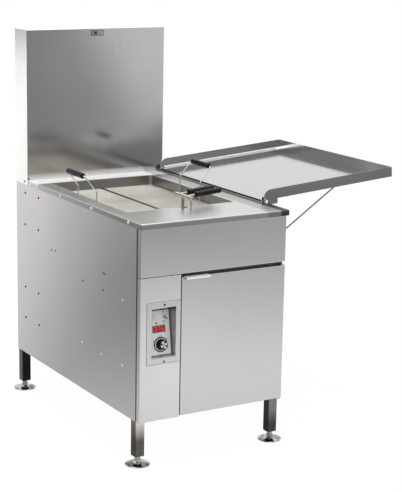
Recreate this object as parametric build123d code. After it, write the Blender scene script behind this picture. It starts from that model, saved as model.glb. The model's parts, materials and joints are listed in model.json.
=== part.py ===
from build123d import *
import math
import os

os.makedirs("parts", exist_ok=True)

# A floor-standing gas donut fryer. Origin on the floor under the middle of the
# cabinet, +X to the operator's right, the front faces -Y, +Z up. Millimetres.

# Cabinet
cabinet_width = 622.0
cabinet_depth = 1079.0
cabinet_bottom = 173.0
deck_height = 914.0
panel_sheet = 1.5
panel_return = 20.0
lap_gap = 0.3
bend_radius = 2.5

# Tall flue riser behind the deck
riser_height = 1520.0
riser_depth = 117.0
riser_sheet = 1.5
riser_slot_height = 12.0
riser_slot_length = 220.0
riser_slot_count = 4
riser_slot_drop = 60.0
hook_width = 54.0
hook_height = 20.0
hook_drop = 28.0
hook_sheet = 2.0
hook_tongue = 18.0
hook_reach = 17.0

# Deck round the kettle
deck_sheet = 2.0
deck_edge_height = 21.0
deck_front_overhang = 14.0
deck_bend = 5.0
deck_cove = 16.0
deck_cove_lip = 2.0
deck_cove_from_right = 21.0
front_deck_depth = 205.0
left_deck_width = 50.0

# Kettle
kettle_width = 467.0
kettle_length = 657.0
kettle_depth = 190.0
kettle_wall = 2.0
kettle_corner = 16.0
ledge_width = 14.0
ledge_thickness = 3.0

# Heat tubes and burners
tube_count = 3
tube_pitch = 146.0
tube_radius = 38.0
tube_wall = 2.0
tube_height_in_kettle = 62.0
tube_front_length = 56.0
hole_gap = 0.2
plenum_gap = 14.0
plenum_from_rear = 14.0
plenum_margin = 4.0
wool_gap = 2.0
burner_throat_radius = 12.0
burner_bell_radius = 20.0
burner_head_radius = 22.0
burner_length = 60.0
manifold_gap = 20.0
burner_head_length = 90.0
manifold_radius = 13.4
spud_radius = 5.0
manifold_past_left = 60.0
manifold_past_right = 40.0

# Front panels
front_pan_depth = 20.0
front_stand_off = 24.0
front_inset = 2.0
frame_sheet = 2.0
apron_height = 200.0
apron_gap = 2.0
door_top_gap = 14.0
control_panel_width = 168.5
panel_seam = 2.5
front_sheet = 1.2
enclosure_depth = 330.0

# Door hinge, pull and catch
hinge_inset = 8.0
hinge_pin_radius = 4.0
running_gap = 0.05
hinge_plate = 3.0
hinge_gap = 1.0
pull_length = 99.0
pull_from_edge = 14.0
pull_reach = 14.0
pull_lip = 12.0
pull_sheet = 1.6

# Control recess
recess_left = 50.0
recess_width = 100.0
recess_bottom = 410.0
recess_height = 187.0
recess_top_depth = 50.0
recess_bottom_depth = 22.0
recess_wall = 1.2
recess_behind_face = 12.0
bezel_border_side = 20.0
bezel_border_end = 22.0
bezel_sheet = 1.5
face_sheet = 2.0
knob_radius = 18.5
knob_height = 24.0
knob_drop = 52.5
knob_offset = 4.0
dial_radius = 28.0
display_width = 50.0
display_height = 24.0
display_rise = 5.0
lamp_rise = 26.5
lamp_offset = -9.0
lamp_radius = 3.5
toggle_radius = 2.6
toggle_length = 17.0
toggle_rise = 48.0
toggle_offset = 23.0
shaft_radius = 3.0

# Legs and levelling feet
leg_size = 38.0
leg_wall = 2.0
leg_bottom = 35.0
leg_side_inset = 21.0
leg_end_inset = 20.0
leg_plug = 22.0
foot_radius = 46.0
foot_plate = 4.0
foot_cone = 9.0
foot_collar_radius = 13.0
stem_radius = 8.0
stem_length = 62.0

# Frying screen and its two handles
screen_gap = 3.0
screen_drop = 38.0
screen_bar = 6.0
screen_spine = 12.0
screen_rib_count = 5
screen_mesh_sheet = 1.2
mesh_bar = 8.0
mesh_columns = 5
mesh_rows = 14
handle_wire = 2.4
handle_spread = 160.0
handle_rise = 71.0
handle_lean_rise = 62.0
handle_lean_out = 50.0
handle_bend = 8.0
grip_radius = 9.5
grip_length = 144.0

# Screen lifter that stands on the front deck
lifter_height = 49.0
lifter_span = 126.0
lifter_bar_width = 10.0
lifter_bar_sheet = 3.0
lifter_strip_width = 17.0
lifter_foot = 16.0
lifter_wire = 2.2
lifter_rod = 3.2
lifter_rod_length = 42.0
lifter_grip_pitch = 70.0
lifter_turn = 18.0

# Drain tray on the right
tray_pivot_inset = 8.5
tray_pivot_rise = 13.0
tray_slope = 4.6
tray_reach = 610.0
tray_front = 145.0
tray_length = 812.0
tray_wall_height = 39.0
tray_floor_drop = 5.0
tray_sheet = 1.5
tray_lip = 7.5
tray_lip_drop = 4.5
tray_cove = 9.0
tray_lug_radius = 11.0
tray_ear_start = 15.0
tray_ear_end = 60.0
tray_ear_drop = 25.0
tray_end_radius = 30.0
tray_pin_radius = 3.0
tray_plate = 3.0
tray_hook_from_end = 60.0

# Stay bail under the tray
bail_radius = 3.2
bail_pivot_out = 10.0
bail_pivot_height = 684.0
bail_angle = 33.5
bail_reach = 482.0
bail_from_front = 90.0
bail_bend = 9.0
bail_plate = 3.0
bail_pin_length = 22.0
bail_eye_radius = 9.0

# Gas and drain plumbing
pipe_radius = 13.4
pipe_bend = 32.0
gas_inlet_height = 320.0
gas_inlet_length = 30.0
gas_nipple_radius = 13.1
gas_nut_length = 14.0
gas_inlet_from_right = 90.0
gas_valve_height = 560.0
gas_valve_from_seam = 90.0
gas_valve_size = 64.0
gas_valve_width = 83.0
gas_valve_boss = 14.0
gas_valve_behind_manifold = 20.0
gas_knob_radius = 17.0
drain_radius = 21.0
drain_bore = 17.5
drain_from_right = 190.0
drain_height = 610.0
drain_from_kettle_front = 70.0
drain_valve_back = 90.0
drain_valve_half = 28.0
drain_spout_reach = 58.0
drain_spout_drop = 90.0
drain_stem_radius = 6.0
drain_lever_length = 78.0
gland_radius = 10.0
probe_radius = 4.0
probe_length = 230.0
probe_from_side = 22.0
probe_below_deck = 72.0

left = -cabinet_width / 2
right = cabinet_width / 2
front = -cabinet_depth / 2
rear = cabinet_depth / 2
body_front = front + front_stand_off
side_front = body_front + frame_sheet
deck_under = deck_height - deck_sheet
deck_half = right + deck_sheet + lap_gap
deck_edge_bottom = deck_height - deck_edge_height
wall_top = deck_under - (deck_bend - deck_sheet) - lap_gap
back_front = rear - riser_depth

kettle_x = (left + left_deck_width, left + left_deck_width + kettle_width)
kettle_y = (front + front_deck_depth, front + front_deck_depth + kettle_length)
kettle_z = (deck_under - kettle_depth, deck_under)
kettle_mid = (sum(kettle_x) / 2, sum(kettle_y) / 2)
tube_z = kettle_z[0] + tube_height_in_kettle
tube_front = kettle_y[0] - tube_front_length

apron_bottom = deck_height - apron_height
door_top = apron_bottom - door_top_gap
panel_left = left + front_inset
panel_right = right - front_inset
seam_x = panel_left + control_panel_width
door_left = seam_x + panel_seam
door_z = (cabinet_bottom + 4, door_top)
door_opening_x = (door_left + panel_return, right - panel_return - frame_sheet - 3)
door_opening_z = (cabinet_bottom + panel_return + 4, door_top - panel_return / 2)
hinge_xy = (panel_right - hinge_inset, front + hinge_inset)

recess_x = (left + recess_left, left + recess_left + recess_width)
recess_z = (recess_bottom, recess_bottom + recess_height)
screen_top = deck_height - screen_drop
screen_bottom = screen_top - screen_bar

tube_xs = [kettle_mid[0] + tube_pitch * (i - (tube_count - 1) / 2) for i in range(tube_count)]
manifold_y = tube_front - burner_length - manifold_gap
manifold_x = (tube_xs[0] - manifold_past_left, tube_xs[-1] + manifold_past_right)
gas_valve_x = door_left + gas_valve_from_seam
gas_valve_y = manifold_y + gas_valve_behind_manifold
drain_xy = (right - drain_from_right, kettle_y[0] + drain_from_kettle_front)
drain_valve_y = side_front + drain_valve_back
probe_x = kettle_x[0] + probe_from_side
probe_z = kettle_z[1] - probe_below_deck


def block(x, y, z):
    # A box between the low and high values of each axis
    centre = ((x[0] + x[1]) / 2, (y[0] + y[1]) / 2, (z[0] + z[1]) / 2)
    return Pos(*centre) * Box(x[1] - x[0], y[1] - y[0], z[1] - z[0])


def cylinder(start, direction, radius, length):
    # A round bar from a start point along a direction
    return extrude(Plane(origin=start, z_dir=direction) * Circle(radius), amount=length)


def rod(points, radius, bend):
    # A round wire along a route with rounded corners
    path = FilletPolyline(*points, radius=bend)
    return sweep(Plane(origin=path @ 0, z_dir=path % 0) * Circle(radius), path=path)


def save(name, *solids):
    shape = solids[0] if len(solids) == 1 else Compound(children=list(solids))
    shape.label = name
    export_step(shape, "parts/" + name + ".step")


def front_pan(x, z, depth):
    # A folded front panel: face, four returns, rounded where the sheet is bent
    outer = block(x, (front, front + depth), z)
    outer = fillet(outer.faces().sort_by(Axis.Y)[0].edges(), bend_radius)
    inner_x = (x[0] + front_sheet, x[1] - front_sheet)
    inner_z = (z[0] + front_sheet, z[1] - front_sheet)
    inner = block(inner_x, (front + front_sheet, front + depth + 1), inner_z)
    inner = fillet(inner.faces().sort_by(Axis.Y)[0].edges(), bend_radius - front_sheet)
    return outer - inner


def side_panel(side):
    # Side sheet with returns folded in along the front, the rear and the bottom
    x0 = side * right
    inner = x0 - side * panel_sheet
    z = (cabinet_bottom, wall_top)
    y = (side_front, rear - panel_sheet)
    wide = sorted((x0, x0 - side * panel_return))
    thin = sorted((x0, inner))
    panel = block(wide, y, z)
    hollow_x = sorted((inner, x0 - side * (panel_return + 1)))
    hollow_y = (y[0] + panel_sheet, y[1] - panel_sheet)
    panel -= block(hollow_x, hollow_y, (z[0] + panel_sheet, z[1] + 1))
    # The upper returns stop below the deck's turned-down edge
    panel -= block(hollow_x, (y[0] - 1, y[1] + 1), (deck_edge_bottom, z[1] + 1))
    return fillet(panel.edges().filter_by(Axis.Z).filter_by_position(Axis.X, x0 - 0.01, x0 + 0.01),
                  panel_sheet * 0.9)


def rear_panel():
    x = (left, right)
    panel = block(x, (rear - panel_sheet, rear), (cabinet_bottom, wall_top))
    pipe_hole = (right - gas_inlet_from_right, rear - 5, gas_inlet_height)
    panel -= cylinder(pipe_hole, (0, 1, 0), pipe_radius + 2, 10)
    gland_hole = (left + gas_inlet_from_right, rear - 5, gas_inlet_height)
    panel -= cylinder(gland_hole, (0, 1, 0), gland_radius + hole_gap, 10)
    return panel


def bottom_shelf():
    # Shelf pan that ties the two side panels together above the legs
    z0 = cabinet_bottom + panel_sheet + lap_gap
    x = (left + panel_sheet + lap_gap, right - panel_sheet - lap_gap)
    y = (side_front + panel_sheet + lap_gap, rear - 2 * panel_sheet - lap_gap)
    outer = block(x, y, (z0, z0 + panel_return))
    inner_x = (x[0] + panel_sheet, x[1] - panel_sheet)
    inner_y = (y[0] + panel_sheet, y[1] - panel_sheet)
    return outer - block(inner_x, inner_y, (z0 + panel_sheet, z0 + panel_return + 1))


def face_frame():
    # Front frame: openings for the compartment, the burners and the control recess
    z = (cabinet_bottom, wall_top)
    frame = block((left, right), (body_front, side_front), z)
    deep = (body_front - 1, body_front + panel_return)
    ring_x = (door_opening_x[0] - frame_sheet, door_opening_x[1] + frame_sheet)
    ring_z = (door_opening_z[0] - frame_sheet, door_opening_z[1] + frame_sheet)
    frame += block(ring_x, (body_front, deep[1] - 1), ring_z)
    frame -= block(door_opening_x, deep, door_opening_z)
    burner_x = (left + 2 * panel_return, right - 2 * panel_return)
    frame -= block(burner_x, deep, (apron_bottom + panel_return, deck_edge_bottom - panel_return))
    frame -= block((recess_x[0] - 6, recess_x[1] + 6), deep, (recess_z[0] - 8, recess_z[1] + 8))
    return frame


def control_enclosure():
    # L-shaped wall that keeps the controls apart from the plumbing
    z = (cabinet_bottom + panel_sheet + panel_return + 2 * lap_gap, apron_bottom)
    wall_x = (door_left + 2, door_left + 2 + panel_sheet)
    depth = (side_front + lap_gap, side_front + enclosure_depth)
    wall = block(wall_x, depth, z)
    back_x = (left + panel_return + 2, wall_x[1])
    return wall + block(back_x, (depth[1] - panel_sheet, depth[1]), z)


def deck():
    # Deck sheet with rounded turned-down edges and the kettle opening
    y = (front - deck_front_overhang, back_front - lap_gap)
    outer = block((-deck_half, deck_half), y, (deck_edge_bottom, deck_height))
    edges = outer.faces().sort_by(Axis.Z)[-1].edges()
    edges = edges.filter_by(Axis.Y) + edges.filter_by(Axis.X).sort_by(Axis.Y)[:1]
    corners = outer.edges().filter_by(Axis.Z).sort_by(Axis.Y)[:2]
    outer = fillet(edges + corners, deck_bend)
    inner_x = (-deck_half + deck_sheet, deck_half - deck_sheet)
    inner_y = (y[0] + deck_sheet, y[1] + 1)
    inner = block(inner_x, inner_y, (deck_edge_bottom - 1, deck_under))
    inner_edges = inner.faces().sort_by(Axis.Z)[-1].edges()
    inner_edges = inner_edges.filter_by(Axis.Y) + inner_edges.filter_by(Axis.X).sort_by(Axis.Y)[:1]
    inner_corners = inner.edges().filter_by(Axis.Z).sort_by(Axis.Y)[:2]
    inner = fillet(inner_edges + inner_corners, deck_bend - deck_sheet)
    opening = Pos(*kettle_mid, deck_height) * RectangleRounded(kettle_width, kettle_length, kettle_corner)
    sheet = outer - inner - extrude(opening, amount=4 * deck_sheet, both=True)
    # The rear edge is turned up against the riser in a wide bend
    x = (-deck_half + deck_bend, right - deck_cove_from_right)
    outer_radius = deck_cove + deck_sheet
    middle = (x[0] - 1, y[1] - outer_radius, deck_height + deck_cove)
    length = x[1] - x[0] + 2
    inside = cylinder(middle, (1, 0, 0), deck_cove, length)
    outside = cylinder(middle, (1, 0, 0), outer_radius, length)
    corner = block(x, (middle[1], y[1]), (deck_under, middle[2]))
    lip = block(x, (y[1] - deck_sheet, y[1]), (middle[2] - 0.5, middle[2] + deck_cove_lip))
    return sheet - corner + (corner & (outside - inside)) + lip


def kettle():
    # Open tank with rounded corners, holes for the heat tubes, drain and probe
    # Along its front and rear walls a welded ledge carries the frying screen
    outer_x = (kettle_x[0] - kettle_wall, kettle_x[1] + kettle_wall)
    outer_y = (kettle_y[0] - kettle_wall, kettle_y[1] + kettle_wall)
    outer = block(outer_x, outer_y, (kettle_z[0] - kettle_wall, kettle_z[1]))
    edges = outer.edges().filter_by(Axis.Z) + outer.faces().sort_by(Axis.Z)[0].edges()
    outer = fillet(edges, kettle_corner + kettle_wall)
    inner = block(kettle_x, kettle_y, (kettle_z[0], kettle_z[1] + kettle_corner))
    edges = inner.edges().filter_by(Axis.Z) + inner.faces().sort_by(Axis.Z)[0].edges()
    inner = fillet(edges, kettle_corner)
    tank = outer - inner
    for x in tube_xs:
        tank -= cylinder((x, kettle_y[0] - 20, tube_z), (0, 1, 0), tube_radius + hole_gap, kettle_length + 40)
    tank -= cylinder((*drain_xy, kettle_z[0] - 20), (0, 0, 1), drain_bore, 40)
    tank -= cylinder((probe_x, kettle_y[0] - 20, probe_z), (0, 1, 0), probe_radius + hole_gap, 40)
    ledge_x = (kettle_x[0] + kettle_corner, kettle_x[1] - kettle_corner)
    ledge_z = (screen_bottom - ledge_thickness, screen_bottom)
    tank += block(ledge_x, (kettle_y[0] - kettle_wall / 2, kettle_y[0] + ledge_width), ledge_z)
    tank += block(ledge_x, (kettle_y[1] - ledge_width, kettle_y[1] + kettle_wall / 2), ledge_z)
    return tank


def heat_tube(x):
    length = tube_front_length + kettle_length + kettle_wall + plenum_gap
    tube = cylinder((x, tube_front, tube_z), (0, 1, 0), tube_radius, length)
    return tube - cylinder((x, tube_front - 1, tube_z), (0, 1, 0), tube_radius - tube_wall, length + 2)


def flue_plenum():
    # Box that gathers the exhaust behind the kettle and leads it up into the riser
    x = (kettle_x[0] + plenum_margin, kettle_x[1] - plenum_margin)
    y = (kettle_y[1] + kettle_wall + plenum_gap - riser_sheet, rear - plenum_from_rear)
    z = (kettle_z[0] - plenum_margin, deck_edge_bottom - plenum_margin)
    box = block(x, y, z)
    inside_x = (x[0] + riser_sheet, x[1] - riser_sheet)
    inside_y = (y[0] + riser_sheet, y[1] - riser_sheet)
    inside_z = (z[0] + riser_sheet, z[1] - riser_sheet)
    box -= block(inside_x, inside_y, inside_z)
    box -= block(inside_x, (back_front + 6, inside_y[1]), (z[0] + 20, z[1] + 5))
    for tube_x in tube_xs:
        box -= cylinder((tube_x, y[0] - 5, tube_z), (0, 1, 0), tube_radius + hole_gap, 15)
    return box


def shell_inside(half):
    return block((-half + riser_sheet, half - riser_sheet), (back_front - 2, rear), (0, riser_height))


def flue_riser():
    # Tall closed box, open underneath, with the outlet slots high on its back
    half = deck_half
    y = (back_front, rear + deck_sheet)
    outer = block((-half, half), y, (deck_edge_bottom, riser_height))
    edges = outer.edges().filter_by(Axis.Z) + outer.faces().sort_by(Axis.Z)[-1].edges()
    outer = fillet(edges, bend_radius)
    inner_x = (-half + riser_sheet, half - riser_sheet)
    inner_y = (y[0] + riser_sheet, y[1] - riser_sheet)
    inner = block(inner_x, inner_y, (deck_edge_bottom - 1, riser_height - riser_sheet))
    shell = outer - fillet(inner.edges().filter_by(Axis.Z), bend_radius - riser_sheet)
    # The side panels rise a little inside the riser, through notches in its front
    for side in (-1, 1):
        notch_x = sorted((side * (right - panel_sheet - lap_gap), side * (half + 1)))
        notch_y = (y[0] - 1, y[0] + riser_sheet + 1)
        shell -= block(notch_x, notch_y, (deck_edge_bottom - 1, wall_top + lap_gap)) & shell_inside(half)
    for row in range(riser_slot_count):
        z = riser_height - riser_slot_drop - row * 3 * riser_slot_height
        slot_z = (z - riser_slot_height, z)
        shell -= block((-riser_slot_length / 2, riser_slot_length / 2), (y[1] - 4, y[1] + 4), slot_z)
    return shell


def hanger_hook():
    # Bent strip hook near the top of the riser, where the lifter is hung
    sheet = hook_sheet
    base_z = riser_height - hook_drop
    y = back_front
    plate = block((-hook_width / 2, hook_width / 2), (y - sheet, y), (base_z, base_z + hook_height))
    plate = fillet(plate.edges().filter_by(Axis.Y), 3.0)
    with BuildSketch(Plane.YZ) as profile:
        with BuildLine():
            tongue = Polyline((y - sheet, base_z + 2 * sheet), (y - hook_reach + 4, base_z + 2 * sheet),
                              (y - hook_reach, base_z + hook_height - 5))
            offset(tongue, amount=sheet / 2, side=Side.BOTH)
        make_face()
    return plate + extrude(profile.sketch, amount=hook_tongue / 2, both=True)


def burner(x):
    # Venturi burner: bell mouth, throat, closing flange and the head in the tube
    flange = tube_front
    mouth = flange - burner_length
    tip = flange + burner_head_length
    with BuildSketch(Plane.XY) as profile:
        with BuildLine():
            Polyline((0, mouth + 12), (burner_throat_radius - 2, mouth + 12), (burner_bell_radius - 2, mouth),
                     (burner_bell_radius, mouth), (burner_throat_radius, mouth + 20),
                     (burner_throat_radius, mouth + 34), (burner_throat_radius + 5, flange - 3),
                     (tube_radius, flange - 3), (tube_radius, flange), (burner_head_radius, flange),
                     (burner_head_radius, tip - 8), (burner_head_radius - 8, tip), (0, tip), (0, mouth + 12))
        make_face()
    return Pos(x, 0, tube_z) * revolve(profile.sketch, Axis.Y)


def burner_manifold():
    # Closed supply pipe across the front with one spud into each burner
    length = manifold_x[1] - manifold_x[0]
    pipe = cylinder((manifold_x[0], manifold_y, tube_z), (1, 0, 0), manifold_radius, length)
    for x in tube_xs:
        pipe += cylinder((x, manifold_y, tube_z), (0, 1, 0), spud_radius, manifold_gap + 8)
    drop = tube_z - manifold_radius * 0.5 - (gas_valve_height + gas_valve_size / 2)
    foot = (gas_valve_x, manifold_y, gas_valve_height + gas_valve_size / 2 + drop)
    return pipe + cylinder(foot, (0, 0, -1), manifold_radius - 1, drop)


def gas_valve():
    # Combination valve body with its two pipe bosses and the knob's stem
    half = gas_valve_size / 2
    body_x = (gas_valve_x - gas_valve_width / 2, gas_valve_x + gas_valve_width / 2)
    body_y = (gas_valve_y - half, gas_valve_y + half)
    body_z = (gas_valve_height - half, gas_valve_height + half)
    body = block(body_x, body_y, body_z)
    body = fillet(body.edges().filter_by(Axis.Z) + body.edges().filter_by(Axis.Y), 5)
    stem = (gas_valve_x, body_y[0] + 1, gas_valve_height)
    body += cylinder(stem, (0, -1, 0), shaft_radius + 1, gas_valve_boss)
    inlet = (gas_valve_x, gas_valve_y, body_z[0] + 1)
    return body + cylinder(inlet, (0, 0, -1), pipe_radius + 4, gas_valve_boss)


def gas_knob():
    # Fluted knob of the gas valve, bored for its stem
    start = (gas_valve_x, gas_valve_y - gas_valve_size / 2 - 0.5, gas_valve_height)
    knob = cylinder(start, (0, -1, 0), gas_knob_radius, 17)
    knob = chamfer(knob.faces().sort_by(Axis.Y)[0].edges(), 2)
    for i in range(8):
        angle = math.radians(45 * i)
        x = start[0] + (gas_knob_radius + 1.5) * math.cos(angle)
        z = start[2] + (gas_knob_radius + 1.5) * math.sin(angle)
        knob -= cylinder((x, start[1] + 1, z), (0, -1, 0), 4, 20)
    return knob - cylinder((start[0], start[1] + 1, start[2]), (0, -1, 0), shaft_radius + 1 + running_gap,
                           gas_valve_boss + 0.6)


def gas_pipe():
    # Supply pipe from the rear inlet to the underside of the gas valve
    z_valve = gas_valve_height - gas_valve_size / 2 - gas_valve_boss + 1
    x_in = right - gas_inlet_from_right
    points = [(gas_valve_x, gas_valve_y, z_valve), (gas_valve_x, gas_valve_y, gas_inlet_height),
              (x_in, gas_valve_y, gas_inlet_height), (x_in, rear + 2, gas_inlet_height)]
    pipe = rod(points, pipe_radius, pipe_bend)
    # Union nut and threaded nipple for the gas supply
    outlet = Plane(origin=(x_in, rear + lap_gap, gas_inlet_height), z_dir=(0, 1, 0))
    pipe += extrude(outlet * RegularPolygon(pipe_radius + 6, 6), amount=gas_nut_length)
    nipple = (x_in, rear + gas_nut_length, gas_inlet_height)
    return pipe + cylinder(nipple, (0, 1, 0), gas_nipple_radius, gas_inlet_length)


def drain_pipe():
    # Drain from the kettle's floor, forward to the valve
    start = (*drain_xy, kettle_z[0] - kettle_wall)
    end = (drain_xy[0], drain_valve_y + drain_valve_half, drain_height)
    points = [start, (*drain_xy, drain_height), end]
    return rod(points, drain_radius, pipe_bend) - rod(points, drain_bore, pipe_bend)


def drain_valve():
    # Ball valve body with its hexagon ends, stem and the spout that points down
    centre = (drain_xy[0], drain_valve_y, drain_height)
    body = Pos(*centre) * Sphere(drain_radius + 7)
    for side in (-1, 1):
        end = (centre[0], centre[1] + side * (drain_valve_half - 16), centre[2])
        plane = Plane(origin=end, z_dir=(0, side, 0))
        body += extrude(plane * RegularPolygon(drain_radius + 6, 6), amount=16)
    body += cylinder(centre, (0, 0, 1), drain_stem_radius, drain_radius + 18)
    bend_y = centre[1] - drain_spout_reach
    spout = [(centre[0], centre[1] - drain_valve_half + 0.5, centre[2]), (centre[0], bend_y, centre[2]),
             (centre[0], bend_y, centre[2] - drain_spout_drop)]
    body += rod(spout, drain_radius - 2, 24)
    return body - rod([(centre[0], bend_y + 13, centre[2]), *spout[1:]], drain_radius - 5, 12)


def drain_handle():
    # Flat lever on the stem, cranked up and closed with a rounded end
    base = drain_height + drain_radius + 10
    x, y = drain_xy[0], drain_valve_y
    lever = block((x - 11, x + drain_lever_length), (y - 9, y + 9), (base, base + 4))
    lever = fillet(lever.edges().filter_by(Axis.Z), 8)
    return lever - cylinder((x, y, base - 1), (0, 0, 1), drain_stem_radius + running_gap, 10)


def cord_gland():
    # Cable gland in the rear panel
    start = (left + gas_inlet_from_right, rear - panel_sheet - 10, gas_inlet_height)
    body = cylinder(start, (0, 1, 0), gland_radius, 24)
    nut = Plane(origin=(start[0], rear, start[2]), z_dir=(0, 1, 0)) * RegularPolygon(gland_radius + 5, 6)
    body += extrude(nut, amount=7)
    inner = Plane(origin=(start[0], rear - panel_sheet, start[2]), z_dir=(0, -1, 0))
    body += extrude(inner * RegularPolygon(gland_radius + 5, 6), amount=5)
    return body - cylinder((start[0], start[1] - 1, start[2]), (0, 1, 0), 4.5, 30)


def temperature_probe():
    probe = cylinder((probe_x, kettle_y[0] - 34, probe_z), (0, 1, 0), probe_radius, probe_length)
    return fillet(probe.edges().filter_by(GeomType.CIRCLE), 1.5)


def insulation(x):
    y = (kettle_y[0] + 6, kettle_y[1] - 6)
    return block(x, y, (kettle_z[0] + 4, deck_edge_bottom - 4))


def leg(sx, sy):
    # Square tube with a closed top and a bored plug for the foot's stem
    x, y = leg_place(sx, sy)
    half = leg_size / 2
    tube = block((x - half, x + half), (y - half, y + half), (leg_bottom, cabinet_bottom))
    tube = fillet(tube.edges().filter_by(Axis.Z), 3)
    inside = half - leg_wall
    hollow = block((x - inside, x + inside), (y - inside, y + inside),
                   (leg_bottom + leg_plug, cabinet_bottom - 2 * leg_wall))
    tube -= hollow
    return tube - cylinder((x, y, leg_bottom - 1), (0, 0, 1), stem_radius + running_gap, leg_plug + 2)


def leg_place(sx, sy):
    x = sx * (right - leg_side_inset)
    y = rear - leg_end_inset if sy > 0 else body_front + leg_end_inset
    return x, y


def foot(sx, sy):
    # Levelling foot: round plate, cone, collar and the stem inside the leg
    x, y = leg_place(sx, sy)
    cone_top = foot_plate + foot_cone
    with BuildSketch(Plane.XZ) as profile:
        with BuildLine():
            Polyline((0, 0), (foot_radius - 1, 0), (foot_radius, 1), (foot_radius, foot_plate - 1),
                     (foot_radius - 2, foot_plate), (foot_collar_radius + 4, cone_top - 3),
                     (foot_collar_radius, cone_top), (foot_collar_radius, cone_top + 8),
                     (stem_radius, cone_top + 8), (stem_radius, cone_top + 8 + stem_length),
                     (0, cone_top + 8 + stem_length), (0, 0))
        make_face()
    return Pos(x, y, 0) * revolve(profile.sketch, Axis.Z)


face_angle = math.atan2(recess_top_depth - recess_bottom_depth, recess_height)
face_centre = (sum(recess_x) / 2, front + (recess_top_depth + recess_bottom_depth) / 2, sum(recess_z) / 2)
face_plane = Plane(origin=face_centre, x_dir=(1, 0, 0),
                   z_dir=(0, -math.cos(face_angle), math.sin(face_angle)))


def control_panel():
    pan = front_pan((panel_left, seam_x), (cabinet_bottom, apron_bottom - apron_gap), front_stand_off)
    cut_x = (recess_x[0] - recess_wall - lap_gap, recess_x[1] + recess_wall + lap_gap)
    cut_z = (recess_z[0] - recess_wall - lap_gap, recess_z[1] + recess_wall + lap_gap)
    return pan - block(cut_x, (front - 5, front + 10), cut_z)


def control_bezel():
    # Flat trim plate round the recess
    x = (recess_x[0] - bezel_border_side, recess_x[1] + bezel_border_side - 1)
    z = (recess_z[0] - bezel_border_end, recess_z[1] + bezel_border_end)
    plate = block(x, (front - bezel_sheet, front), z)
    plate = chamfer(plate.faces().sort_by(Axis.Y)[0].edges(), 0.6)
    return plate - block(recess_x, (front - 5, front + 5), recess_z)


def control_housing():
    # Open box behind the bezel
    outer_x = (recess_x[0] - recess_wall, recess_x[1] + recess_wall)
    outer_z = (recess_z[0] - recess_wall, recess_z[1] + recess_wall)
    back = front + recess_top_depth + recess_behind_face
    box = block(outer_x, (front, back), outer_z)
    return box - block(recess_x, (front - 1, back - recess_wall), recess_z)


def on_face(u, v, rise=0.0):
    return face_plane.offset(rise) * Pos(u, v)


def control_face():
    # Sloping control plate with the holes for shaft, toggle, lamp and display
    length = recess_height / math.cos(face_angle) - 4
    plate = extrude(face_plane * Rectangle(recess_width - 2 * lap_gap, length), amount=-face_sheet)
    holes = [(knob_offset, -knob_drop, shaft_radius + running_gap),
             (toggle_offset, toggle_rise, toggle_radius + 1.4),
             (lamp_offset, lamp_rise, lamp_radius + hole_gap)]
    for u, v, radius in holes:
        plate -= extrude(on_face(u, v) * Circle(radius), amount=10, both=True)
    window = on_face(0, display_rise) * Rectangle(display_width + 2 * hole_gap, display_height + 2 * hole_gap)
    return plate - extrude(window, amount=10, both=True)


def display_window():
    body = extrude(on_face(0, display_rise, -6) * Rectangle(display_width, display_height), amount=7)
    return body


def indicator_lamp():
    body = extrude(on_face(lamp_offset, lamp_rise, -6) * Circle(lamp_radius), amount=8)
    return fillet(body.edges().filter_by(GeomType.CIRCLE).sort_by(Axis.Y)[0], 1.2)


def dial_plate():
    # Thin round scale plate behind the knob
    place = on_face(knob_offset, -knob_drop)
    ring = extrude(place * Circle(dial_radius), amount=1.0)
    return ring - extrude(place * Circle(shaft_radius + running_gap), amount=5, both=True)


def temperature_knob():
    # Knob with a fluted skirt on a shaft that runs in the plate
    base = on_face(knob_offset, -knob_drop, 1.3)
    body = extrude(base * Circle(knob_radius), amount=6)
    body += extrude(on_face(knob_offset, -knob_drop, 7.3) * Circle(knob_radius - 2), amount=knob_height - 6)
    for i in range(12):
        angle = math.radians(30 * i)
        u = knob_offset + (knob_radius - 0.8) * math.cos(angle)
        v = -knob_drop + (knob_radius - 0.8) * math.sin(angle)
        body -= extrude(on_face(u, v, 7.3) * Circle(1.6), amount=knob_height)
    shaft = extrude(on_face(knob_offset, -knob_drop, -9) * Circle(shaft_radius), amount=12)
    return body + shaft


def knob_cap():
    cap = extrude(on_face(knob_offset, -knob_drop, knob_height + 1.3) * Circle(knob_radius - 5), amount=1.6)
    return chamfer(cap.edges().filter_by(GeomType.CIRCLE).sort_by(Axis.Y)[0], 0.6)


def toggle_bushing():
    # Threaded collar of the toggle switch and the switch body behind the plate
    behind = on_face(toggle_offset, toggle_rise, -face_sheet - 1)
    collar = extrude(behind * Circle(toggle_radius + 1.2), amount=8)
    nut = extrude(on_face(toggle_offset, toggle_rise) * RegularPolygon(7, 6), amount=2)
    return collar + nut


toggle_pivot = on_face(toggle_offset, toggle_rise, 8.5)


def toggle_lever():
    # Bat-shaped lever, thicker at its tip, pivoted at the collar's mouth
    tilt = Rot(18, 0, 0)
    with BuildPart() as lever:
        with BuildSketch(Plane.XZ) as profile:
            with BuildLine():
                Polyline((0, 0), (1.6, 0), (toggle_radius, toggle_length - 3),
                         (toggle_radius - 1, toggle_length), (0, toggle_length), (0, 0))
            make_face()
        revolve(axis=Axis.Z)
    return toggle_pivot * tilt * lever.part


def front_apron():
    z = (apron_bottom, deck_under - 1)
    return front_pan((panel_left, panel_right), z, front_stand_off)


def door_skin():
    skin = front_pan((door_left, panel_right), door_z, front_pan_depth)
    for z in door_z:
        skin -= cylinder((*hinge_xy, z - 3), (0, 0, 1), hinge_pin_radius + running_gap, 6)
    return skin


def door_liner():
    # Inner sheet that closes the back of the door
    x = (door_left + front_sheet, panel_right - front_sheet)
    z = (door_z[0] + front_sheet, door_z[1] - front_sheet)
    back = front + front_pan_depth
    return block(x, (back - front_sheet, back), z)


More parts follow.
